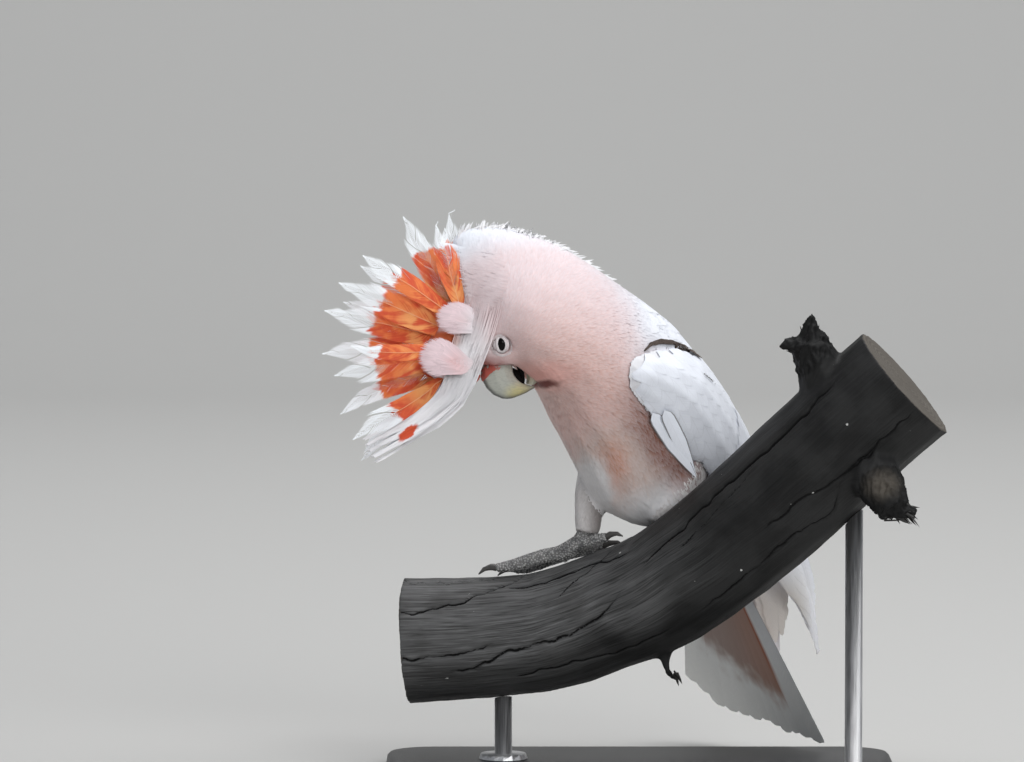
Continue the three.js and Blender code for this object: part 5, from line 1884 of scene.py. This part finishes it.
# the wood darkens towards the thin end; the underside is darkened as painted shade
darker_end = smoothstep(0.110, 0.225, along_limb + 0.02 * lattice_noise(along_limb / 0.02, around * 2, 8))
underside_shade = smoothstep(1.6, 2.25, np.abs(around) + 0.25 * lattice_noise(along_limb / 0.03, around, 12))
char = np.maximum(darker_end, underside_shade * (0.5 + 0.5 * smoothstep(0.05, 0.16, along_limb)))
from_end = along_limb - along_limb.max()
middle_limb = smoothstep(1 * MM, 5 * MM, along_limb) * smoothstep(-1 * MM, -5 * MM, from_end)
smooth_partly(perch, sound * middle_limb, 40)
co = points_of(perch)
lumps = 0.9 * lattice_noise(along_limb / (30 * MM), around * 1.2 + 40, 1)
lumps += 0.35 * lattice_noise(along_limb / (11 * MM), around * 2.6 + 80, 2)
grain_phase = around * GIRTH / (1.6 * MM) + 2.5 * lattice_noise(along_limb / (24 * MM), around * 2 + 20, 3)
grain = 0.16 * lattice_noise(grain_phase, along_limb / (18 * MM) + 7, 4)
grain += 0.10 * lattice_noise(grain_phase * 2.1, along_limb / (9 * MM), 5)
relief = lumps * 0.55 + grain * (1 - 0.6 * char)
print("relief from", round(float(relief.min()), 2), "to", round(float(relief.max()), 2), "mm")

# %% [markdown]
# ## Drying cracks
# A crack is a narrow groove with a slightly raised lip. Each one is a line on the bark: the
# points near it sink by its depth, most in its middle and less towards its ends, and a mask
# keeps where it runs, so that the finish can darken it. At the broken knots, ridged noise
# stands for torn wood, and sawn-off ends get their year rings.

# %% Branch cracks
crack_mask = np.zeros(len(co))
bark_tree = Form(perch).tree
for number, (seen_line, deep, wide) in enumerate(SEEN_CRACKS):
    line = even_curve(seen_line, 0.6)
    x, row = line[:, 0], np.zeros(len(line))
    wide_bends = 0.9 * lattice_noise(x / 5, row + 3 * number, 14)
    line[:, 1] += wide_bends + 0.35 * lattice_noise(x / 1.3, row + number, 15)
    starts = [Vector((x, -0.3, z)) for x, z in line * MM]
    hits = [bark_tree.ray_cast(p, Vector((0, 1, 0)))[0] or (p.x, -1, p.z) for p in starts]
    tree = point_tree(hits)
    found = [tree.find(p)[1:] for p in co]
    t, gap = np.array([f[0] for f in found]) / len(line), np.array([f[1] for f in found]) / MM
    ends = smoothstep(0, 0.08, t) * smoothstep(1, 0.8, t)
    ends = ends * (0.75 + 0.25 * lattice_noise(t * 14, t * 0 + number, 16))
    cut = np.exp(-((gap / wide) ** 2)) * ends
    relief += -deep * cut + 0.2 * np.exp(-(((gap - 2.3 * wide) / (1.4 * wide)) ** 2)) * ends
    crack_mask = np.maximum(crack_mask, cut)
for number, (start, run, angle, drift, deep, wide) in enumerate(CRACKS):
    t = (along_limb / MM - start) / run
    path = toward_viewer * -1 * angle + drift * t + 0.05 * np.sin(9 * t + number)
    path = path + 0.03 * lattice_noise(along_limb / (5 * MM), 0 * t + number * 5, 9)
    gap = np.abs((around - path + math.pi) % (2 * math.pi) - math.pi) * GIRTH / MM
    cut = np.exp(-((gap / wide) ** 2)) * smoothstep(0, 0.12, t) * smoothstep(1, 0.8, t)
    relief -= deep * cut
    crack_mask = np.maximum(crack_mask, cut)
relief = relief * (0.3 + 0.7 * sound) - 0.5
for i in np.flatnonzero(sound < 0.9):
    ridge = 1 - 2 * abs(noise.noise(Vector(co[i] * (0.30, 0.30, 0.16)) / MM * 0.9))
    ridge = ridge - 0.6 * abs(noise.noise(Vector(co[i]) / MM * 0.75))
    relief[i] += (ridge - 0.6) * 1.7 * (1 - sound[i])
cut_face = smoothstep(0.75, 0.93, np.abs((normals_of(perch) * heading).sum(1))) * sound
cut_face *= np.maximum(smoothstep(4 * MM, 1 * MM, along_limb), smoothstep(-6 * MM, -2 * MM, from_end))
bent_rings = 1.5 * lattice_noise(around * 1.5, radius / (9 * MM), 17)
rings = 0.5 + 0.5 * np.sin(radius / (3.0 * MM) * 2 * math.pi + bent_rings)
relief += 0.15 * rings * cut_face
move_points(perch, co + normals_of(perch) * (relief * MM)[:, None])
masks = {"crack": crack_mask, "sound": sound, "char": char, "cut_face": cut_face, "rings": rings}
for label, values in masks.items():
    store(perch.data, label, values)
store(perch.data, "limb", np.stack([along_limb, np.cos(around) * GIRTH, np.sin(around) * GIRTH], -1))
print("cracks:", len(CRACKS) + len(SEEN_CRACKS))

# %% [markdown]
# ## Weathered and charred wood
# Old dead wood is grey, with darker and lighter fibres; charred wood is black and slightly shiny. The noise
# is stretched along the stored limb positions, so the fibres follow every bend. The masks from the carving
# then lay black towards the thin end, onto the underside as painted shade, into the cracks and onto the torn
# knots. Splinters, thin spikes in four bunches, stand where wood broke off.

# %% Branch finish
def bark_material(name):
    """Weathered grey wood that turns black towards the thin end and, as painted shade, on the underside, with
    worn wood at the knot and rings on the cut ends.
    """
    material = new_material(name, (0.05, 0.05, 0.05), 0.55, Specular_IOR_Level=0.20)
    tree = material.node_tree
    along_grain = stretched(tree, read_attribute(tree, "limb", "Vector"), (0.035, 1, 1))
    fibres = noise_of(tree, along_grain, 0.8, 4)
    broad = noise_of(tree, along_grain, 5, 3)
    position = object_position(tree)
    cloud = noise_of(tree, position, 26, 4)
    crack, sound, char, cut_face, rings = (read_attribute(tree, label) for label in masks)
    colour = mix_of(tree, ramp_of(tree, broad, 0.35, 0.7), (0.082, 0.082, 0.082), (0.135, 0.135, 0.136))
    for streaks, low, high, share, tint in (
        (fibres, 0.52, 0.70, 0.6, (0.20, 0.20, 0.20)),
        (fibres, 0.47, 0.36, 0.7, (0.030, 0.029, 0.028)),
        (cloud, 0.5, 0.72, 0.4, (0.045, 0.044, 0.042)),
    ):
        colour = mix_of(tree, times(tree, ramp_of(tree, streaks, low, high), share), colour, tint)
    black = mix_of(tree, ramp_of(tree, cloud, 0.35, 0.65), (0.005, 0.005, 0.005), (0.020, 0.020, 0.020))
    # black towards the thin end, and on the underside as painted shade
    colour = mix_of(tree, times(tree, char, 0.93), colour, black)
    colour = mix_of(tree, ramp_of(tree, crack, 0.25, 0.6), colour, (0.002, 0.002, 0.002))
    colour = mix_of(tree, ramp_of(tree, sound, 0.6, 0.2), colour, (0.010, 0.010, 0.010))
    worn = times(tree, patch(tree, jittered(tree, position, 6, 2), (134, -74, 172), (10, 22, 9), 0.4), 0.75)
    colour = mix_of(tree, worn, colour, (0.115, 0.100, 0.082))
    end_grain = mix_of(tree, rings, (0.085, 0.075, 0.063), (0.145, 0.13, 0.112))
    colour = mix_of(tree, cut_face, colour, end_grain)
    specks = tree.nodes.new("ShaderNodeTexVoronoi")
    tree.links.new(jittered(tree, position, 2, 1.6), specks.inputs["Vector"])
    specks.inputs["Scale"].default_value = 130
    here_and_there = ramp_of(tree, noise_of(tree, position, 14), 0.60, 0.64)
    dots = times(tree, ramp_of(tree, specks.outputs["Distance"], 0.12, 0.07), here_and_there)
    colour = mix_of(tree, dots, colour, (0.60, 0.60, 0.58))
    bump = tree.nodes.new("ShaderNodeBump")
    bump.inputs["Strength"].default_value = 0.45
    bump.inputs["Distance"].default_value = 0.35 * MM
    tree.links.new(fibres, bump.inputs["Height"])
    tree.links.new(bump.outputs["Normal"], tree.nodes["Principled BSDF"].inputs["Normal"])
    return paint(material, colour, ramp_of(tree, cloud, 0.3, 0.7, 0.52, 0.70))


BARK = bark_material("charred_wood")
finish_coat(perch, BARK, "perch", "perch_branch")

SPLINTER_BEDS = [  # where splinters stand, their common heading, spread and length in mm, and how many
    ((94.5, -56, 251), (-0.35, -0.05, 1.0), 6.0, 9.0, 26),
    ((85, -55, 246), (-0.75, -0.1, 0.6), 2.5, 6.0, 8),
    ((146, -84, 158), (0.75, -0.3, -0.55), 6.0, 8.0, 22),
    ((21, -13, 57), (0.5, 0, -0.8), 2.0, 4.0, 6),
]
SPLINTER_SIDES = 5


def splinters(name, seed):
    """Thin charred spikes, one mesh of five-sided cones."""
    rng = np.random.default_rng(seed)
    verts, faces = [], []
    for centre, common, spread, length, count in SPLINTER_BEDS:
        for _ in range(count):
            way = unit(np.array(common) + rng.normal(0, 0.30, 3))
            foot = np.array(centre) + rng.normal(0, 0.45, 3) * spread - way * 3
            side = unit(np.cross(way, rng.normal(size=3)))
            other = np.cross(way, side)
            size, thick = length * rng.uniform(0.5, 1.2) + 3, rng.uniform(0.6, 1.4)
            first = len(verts)
            for step, scale in ((0, 1.0), (0.6, 0.8)):
                for k in range(SPLINTER_SIDES):
                    turn = 2 * math.pi * k / SPLINTER_SIDES
                    outward = side * math.cos(turn) + other * math.sin(turn) * 0.6
                    verts.append(foot + way * size * step + outward * thick * scale)
            verts.append(foot + way * size)
            for k in range(SPLINTER_SIDES):
                a, b = first + k, first + (k + 1) % SPLINTER_SIDES
                faces.append((a, b, b + SPLINTER_SIDES, a + SPLINTER_SIDES))
                faces.append((a + SPLINTER_SIDES, b + SPLINTER_SIDES, first + 2 * SPLINTER_SIDES))
            faces.append(tuple(first + k for k in reversed(range(SPLINTER_SIDES))))
    mesh = bpy.data.meshes.new(name)
    mesh.from_pydata((np.array(verts) * MM).tolist(), [], faces)
    return new_object(name, mesh)


spikes = splinters("perch_splinters", 19)
char_finish = new_material("splinter_char", (0.012, 0.012, 0.012), 0.6)
char_tree = char_finish.node_tree
soft = noise_of(char_tree, object_position(char_tree), 3)
paint(char_finish, mix_of(char_tree, soft, (0.006, 0.006, 0.006), (0.035, 0.033, 0.030)))
print("bark finish, and splinters with", finish_coat(spikes, char_finish, "perch"), "faces")

# %% [markdown]
# ## Bill and tongue
# The bill is smooth horn with faint growth lines, so its CAD halves are evened into soft closed forms, and
# the upper one's point is drawn forwards and up a little. Painted shade darkens the down-facing middle of the
# upper bill.
# The gap between the halves shows the dark inside of the mouth. A dark oval ball on each
# side closes it.

# %% Bill and tongue
def ball_of(name, segments, rings, radius, place=(0, 0, 0)):
    """A smooth UV sphere."""
    bpy.ops.object.select_all(action="DESELECT")
    bpy.ops.mesh.primitive_uv_sphere_add(segments=segments, ring_count=rings, radius=radius, location=place)
    o = bpy.context.object
    o.name = o.data.name = name
    bpy.ops.object.shade_smooth()
    return o


def horn_material(name, tint, stain, centre, radii):
    """Smooth horn with growth lines, a stained patch, and painted shade where a mask for it is stored."""
    material = new_material(name, tint, 0.34)
    tree = material.node_tree
    position = object_position(tree)
    colour = mix_of(tree, patch(tree, position, centre, radii, 0.6), tint, stain)
    # painted shade where the bill's mask is stored
    colour = mix_of(tree, times(tree, read_attribute(tree, "bill_underside_shade"), 0.9), colour, (0.05, 0.05, 0.05))
    growth = noise_of(tree, placed(tree, position, (0, 0, 0), (1000, 1000, 250)), 2.2, 3)
    lines = times(tree, ramp_of(tree, growth, 0.4, 0.7), 0.35)
    colour = mix_of(tree, lines, colour, tuple(0.6 * x for x in tint))
    return paint(material, colour, ramp_of(tree, growth, 0.3, 0.7, 0.28, 0.42))


HORN = horn_material("bill_horn", (0.52, 0.53, 0.47), (0.66, 0.58, 0.24), (-69.5, -14, 221), (7.5, 30, 5.5))
LOWER_HORN = horn_material(
    "bill_lower_horn", (0.66, 0.60, 0.44), (0.55, 0.55, 0.45), (-60, -14, 226), (4, 30, 3)
)
MOUTH_SKIN = new_material("tongue_skin", (0.006, 0.005, 0.005), 0.7, Specular_IOR_Level=0.1)
for node, finish, slot_name in (
    ("bill_upper", HORN, "bill"), ("bill_lower", LOWER_HORN, "bill"), ("tongue", MOUTH_SKIN, "tongue")
):
    o = copy_of(node + "_smooth", node)
    even_form(o, 0.42 * MM, 5)
    if node == "bill_upper":
        co = points_of(o)
        tip = smoothstep(-77 * MM, -64 * MM, co[:, 0]) * smoothstep(233 * MM, 222 * MM, co[:, 2])
        move_points(o, co + tip[:, None] * np.array((4.6, 0, 3.0)) * MM)
        # painted shade: a dark line along the down-facing middle of the upper bill
        from_middle = (points_of(o) - HEAD_MIDDLE) @ HEAD_SIDE
        bill_underside_shade = np.exp(-((from_middle / (3.0 * MM)) ** 4)) * smoothstep(-0.2, 0.5, -normals_of(o)[:, 2])
        store(o.data, "bill_underside_shade", bill_underside_shade)
    print(node, finish_coat(o, finish, slot_name, node), "faces")
MOUTH_MIDDLE, MOUTH_RADII = np.array((-70.2, -30.8, 227.6)) * MM, Vector((3.7, 3.0, 7.6)) * MM
for label, place in (("left", MOUTH_MIDDLE), ("right", mirrored(MOUTH_MIDDLE))):
    lining = ball_of("mouth_lining_" + label, 28, 18, 1)
    lining.scale, lining.rotation_euler, lining.location = MOUTH_RADII, (0, math.radians(-24), 0), place
    bpy.ops.object.transform_apply(location=True, rotation=True, scale=True)
    finish_coat(lining, MOUTH_SKIN, "tongue")

# %% [markdown]
# ## The lores
# Between the eye and the bill, short red feathers end in a soft edge over the horn. They are
# blades of the coat's own material. Each one starts a little above a line along the base of
# the bill and points down and forwards, over the horn and the skin taken as one form.

# %% Lores
LORE_EDGE = np.array([(-92.8, 223.2), (-91.5, 224.0), (-88.0, 229.0), (-85.0, 232.5), (-81.5, 235.0)])
bill_form = Form(bpy.data.objects["bill_upper_smooth"], skin)
rng = np.random.default_rng(77)
count = 420
x = np.clip(rng.normal(-87.0, 2.6, count), -91.3, -79.5)
z = np.interp(x, *LORE_EDGE.T) + 0.4 + np.abs(rng.normal(0, 2.2, count))
lore_way = unit(np.array((-0.55, 0, -0.85)))
reach = rng.uniform(1.6, 2.8, count)[:, None] * np.linspace(0, 1, 4) * MM
flat = np.stack([x, 0 * x, z], -1)[:, None] * MM + lore_way * reach[..., None]
flat[..., 1] = facing_side(bill_form, flat[..., 0], flat[..., 2])
flat = flat[~np.isnan(flat[..., 1]).any(1)]
_, up = drape(bill_form, flat)
flat = flat + up * np.array([-0.1, 0.35, 0.5, 0.35])[None, :, None] * MM
other_up = up - 2 * (up @ HEAD_SIDE)[..., None] * HEAD_SIDE
flat, up = np.concatenate([flat, mirrored(flat)]), np.concatenate([up, other_up])
halves = np.full((len(flat), 3), 0.32 * MM)
lores = blades("lores_feathers", flat, halves, up, skin_map(flat[:, 0]), rng.normal(0, 0.5, len(flat)))
print("lores:", len(flat), "blades,", finish_coat(lores, COAT_FINISH, "plumage_pink"), "triangles")

# %% [markdown]
# ## Eyes and lids
# The eye is a dark glossy ball, and what gives the bird its look is the lid: a ring of bare
# white skin with an almond opening. The lid starts as a sphere a little larger than the eye.
# The points inside the almond and far from it are deleted, fine creases are pressed in, and
# the shell is thickened. A ring of short soft blades hides its outer edge.

# %% Eyes and lids
EYE_BALL = new_material("eye_ball", (0.004, 0.003, 0.003), 0.12, IOR=1.22)
LID_SKIN = new_material("lid_skin", (0.84, 0.79, 0.79), 0.6)
lid_tree = LID_SKIN.node_tree
creases = noise_of(lid_tree, object_position(lid_tree), 0.6, 2)
lid_colour = mix_of(lid_tree, ramp_of(lid_tree, creases, 0.3, 0.7), (0.86, 0.82, 0.82), (0.74, 0.66, 0.67))
paint(LID_SKIN, mix_of(lid_tree, read_attribute(lid_tree, "rim"), lid_colour, (0.16, 0.13, 0.13)))
EYE_RADIUS = float(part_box("eye_left")[1].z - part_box("eye_left")[0].z) / 2
LID_TILT = math.radians(8)
OPEN_HALF, LID_HALF = np.array((1.85, 3.5)) * MM, np.array((4.5, 5.6)) * MM  # half width and half height
LID_SHIFT, LID_DROP = -0.9 * MM, -0.3 * MM
RING_PLACES, FRINGE_BLADES = 110, 220
SHORT_TO_LONG = np.linspace(0.86, 1.32, 4)  # where the fringe's stations lie, as shares of the lid's size


def almond_measure(flat):
    """Less than 1 inside the almond opening, 1 on its edge, more outside."""
    return (np.abs(flat / OPEN_HALF) ** np.array((2, 1.75))).sum(1)


FRINGE_FINISH = plain_plumage("fringe_plumage", (0.80, 0.68, 0.68), (0.84, 0.75, 0.76), variation=0.12)
fringe = []
for name, centre, side_sign in (("eye_left", EYE_LEFT, 1), ("eye_right", EYE_RIGHT, -1)):
    out = HEAD_SIDE * side_sign
    lean = np.array((-math.sin(LID_TILT), 0, math.cos(LID_TILT)))
    tall = unit(lean - out * np.dot(lean, out))
    wide = np.cross(tall, out)
    ball = ball_of(name + "_ball", 48, 24, EYE_RADIUS, centre)
    bpy.ops.object.transform_apply(location=True, rotation=True, scale=True)
    finish_coat(ball, EYE_BALL, "eye", name)
    lid = ball_of(name + "_lid", 96, 72, EYE_RADIUS + 0.22 * MM)
    shift = LID_SHIFT * wide[0]
    flat = points_of(lid)[:, :2] - np.array((shift, LID_DROP))
    opening = almond_measure(flat)
    outer = (((flat + np.array((-0.3 * wide[0], 0.9)) * MM) / LID_HALF) ** 2).sum(1)
    keep_points = (opening > 0.93) & (outer < 1.02) & (points_of(lid)[:, 2] > 0.2 * EYE_RADIUS)
    select_where(lid, "vertices", lambda vertex: not keep_points[vertex.index])
    bpy.ops.mesh.delete(type="VERT")
    bpy.ops.object.mode_set(mode="OBJECT")
    modify(lid, "SMOOTH", factor=0.5, iterations=3)
    co = points_of(lid)
    from_rim = np.sqrt(almond_measure(co[:, :2] - np.array((shift, LID_DROP))))
    roll, creases = np.exp(-(((from_rim - 1.3) / 0.28) ** 2)), np.cos(9 * from_rim)
    co += unit(co) * (0.42 * MM * roll + 0.12 * MM * creases)[:, None]
    move_points(lid, centre + co[:, :1] * wide + co[:, 1:2] * tall + co[:, 2:3] * out)
    store(lid.data, "rim", smoothstep(1.10, 0.98, from_rim))
    modify(lid, "SOLIDIFY", thickness=0.4 * MM, offset=0.0)
    modify(lid, "SUBSURF", levels=1, render_levels=1)
    in_edit_mode(lid, bpy.ops.mesh.normals_make_consistent, inside=False)
    bpy.ops.object.shade_smooth()
    finish_coat(lid, LID_SKIN, "plumage_pink")
    rng = np.random.default_rng(66)
    turn = np.repeat(np.linspace(0, 2 * math.pi, RING_PLACES, endpoint=False), 2)
    turn = turn + rng.normal(0, 0.03, FRINGE_BLADES)
    reach = SHORT_TO_LONG[None] * rng.uniform(0.96, 1.06, (FRINGE_BLADES, 1))
    ring = [LID_HALF[k] * reach * f(turn)[:, None] for k, f in ((0, np.cos), (1, np.sin))]
    path = centre + (ring[0] + shift + 0.3 * MM * wide[0])[..., None] * wide
    path = path + (ring[1] - 1.2 * MM)[..., None] * tall + out * 0.8 * EYE_RADIUS
    hit, normal = drape(skin_form, path)
    dome = centre + unit(path - centre) * (EYE_RADIUS + 0.45 * MM)
    above = np.maximum(((dome - hit) * out).sum(-1), 0) * np.array([1, 0.55, 0.1, 0])
    rise = np.array([0.1, 0.7, 1.0, 1.1])[None, :, None]
    fringe.append((hit + out * above[..., None] + normal * rise * MM, normal))
    print(name, "ball and lid", len(lid.data.polygons), "faces")
paths, normals = (np.concatenate([f[i] for f in fringe]) for i in (0, 1))
halves = np.full((len(paths), 3), 0.22 * MM)
o = blades("lid_fringe", paths, halves, normals, skin_map(paths[:, 0]), rng.normal(0, 0.5, len(paths)))
print("fringe:", len(paths), "blades,", finish_coat(o, FRINGE_FINISH, "plumage_pink"), "triangles")

# %% [markdown]
# ## Feet and claws
# A parrot's foot is covered in small pebbly scales, larger and ring-like on top of the
# toes. The CAD feet are evened, and little flat domes, one mesh per foot, are spread over
# them. The claws are smooth dark horn.

# %% Feet
SCALE_SIDES = 6


def pebble_scales(name, places, normals, size, seed):
    """Many low six-sided domes on a surface, joined in one mesh."""
    rng = np.random.default_rng(seed)
    n = len(places)
    side = unit(np.cross(normals, rng.normal(size=(n, 3))))
    other = np.cross(normals, side)
    turn = 2 * np.pi * np.arange(SCALE_SIDES) / SCALE_SIDES
    rim = np.cos(turn)[None, :, None] * side[:, None] + np.sin(turn)[None, :, None] * other[:, None]
    rim = rim * (size * rng.uniform(0.85, 1.1, n))[:, None, None]
    base = places[:, None] + rim - normals[:, None] * 0.12 * MM
    top = places[:, None] + rim * 0.6 + normals[:, None] * 0.20 * MM
    peak = (places + normals * 0.26 * MM)[:, None]
    verts = np.concatenate([base, top, peak], 1)
    k, per = SCALE_SIDES, 2 * SCALE_SIDES + 1
    faces = []
    for i in range(k):
        j = (i + 1) % k
        faces += [(i, j, k + j), (i, k + j, k + i), (k + i, k + j, 2 * k)]
    faces += [(0, i + 1, i) for i in range(1, k - 1)]
    all_faces = (np.array(faces)[None] + per * np.arange(n)[:, None, None]).reshape(-1, 3)
    mesh = bpy.data.meshes.new(name)
    mesh.from_pydata(verts.reshape(-1, 3).tolist(), [], all_faces.tolist())
    mesh.shade_smooth()
    return new_object(name, mesh)


def foot_material(name, dark, light):
    """Dry grey skin with soft blotches."""
    material = new_material(name, (0.16, 0.15, 0.145), 0.7)
    tree = material.node_tree
    position = object_position(tree)
    blotch = noise_of(tree, position, 3.0, 3)
    return paint(material, mix_of(tree, ramp_of(tree, blotch, 0.35, 0.65), dark, light),
                 ramp_of(tree, blotch, 0.3, 0.7, 0.55, 0.8))


FOOT_SKIN = foot_material("foot_skin", (0.14, 0.14, 0.14), (0.25, 0.245, 0.24))
FOOT_SCALE = foot_material("foot_scales", (0.28, 0.28, 0.278), (0.54, 0.535, 0.525))
CLAW_HORN = horn_material("claw_horn", (0.09, 0.085, 0.08), (0.14, 0.13, 0.12), (0, 0, 0), (1, 1, 1))
for side_name in ("left", "right"):
    foot = copy_of("foot_" + side_name + "_skin", "foot_" + side_name)
    even_form(foot, 0.6 * MM, 4)
    if side_name == "left":
        co = points_of(foot)
        co[:, 2] -= 1.7 * MM * np.exp(-(((co[:, 0] + 45 * MM) / (15 * MM)) ** 2))
        move_points(foot, co)
    finish_coat(foot, FOOT_SKIN, "foot", "foot_" + side_name)
    spots, spot_up, _ = scatter(foot, lambda p: np.full(len(p), 1.25 * MM), seed=61)
    scales = pebble_scales("foot_" + side_name + "_scales", spots, spot_up, 0.70 * MM, 62)
    finish_coat(scales, FOOT_SCALE, "foot")
    for node in sorted(n for n in NODES if n.startswith("claw_" + side_name)):
        claw = copy_of(node + "_horn", node)
        even_form(claw, 0.28 * MM, 3)
        finish_coat(claw, CLAW_HORN, "claw", node)
    print(side_name, "foot:", len(spots), "scales")

# %% [markdown]
# ## The stand
# The stand is meant to be overlooked: a dark satin plate with rounded corners and two
# steel rods. The CAD nodes already have the right shape, so they stay and only get
# finishes, with fine grain so that they don't look like plain plastic.

# %% Stand finish
stand_paint = new_material("stand_paint", (0.035, 0.035, 0.037), 0.45)
tree = stand_paint.node_tree
speckle = noise_of(tree, object_position(tree), 0.5, 2)
cloudy = noise_of(tree, object_position(tree), 40, 3)
dull = mix_of(tree, ramp_of(tree, cloudy, 0.35, 0.65), (0.030, 0.030, 0.032), (0.042, 0.042, 0.044))
paint(stand_paint, dull, ramp_of(tree, speckle, 0.3, 0.7, 0.38, 0.52))
steel = new_material("brushed_rod", (0.56, 0.56, 0.57), 0.32, Metallic=1.0)
tree = steel.node_tree
brush = noise_of(tree, stretched(tree, object_position(tree), (1, 1, 0.03)), 0.5, 2)
paint(steel, mix_of(tree, ramp_of(tree, brush, 0.3, 0.7), (0.66, 0.66, 0.67), (0.80, 0.80, 0.81)),
      ramp_of(tree, brush, 0.3, 0.7, 0.42, 0.56))
for node, finish, slot_name in (
    ("stand_base", stand_paint, "stand_base"),
    ("stand_rod_left", steel, "stand_rod"),
    ("stand_rod_right", steel, "stand_rod"),
):
    o = copy_of(node + "_finished", node)
    bpy.ops.object.shade_smooth_by_angle(angle=math.radians(32))
    finish_coat(o, finish, slot_name, node)
print("stand finished")
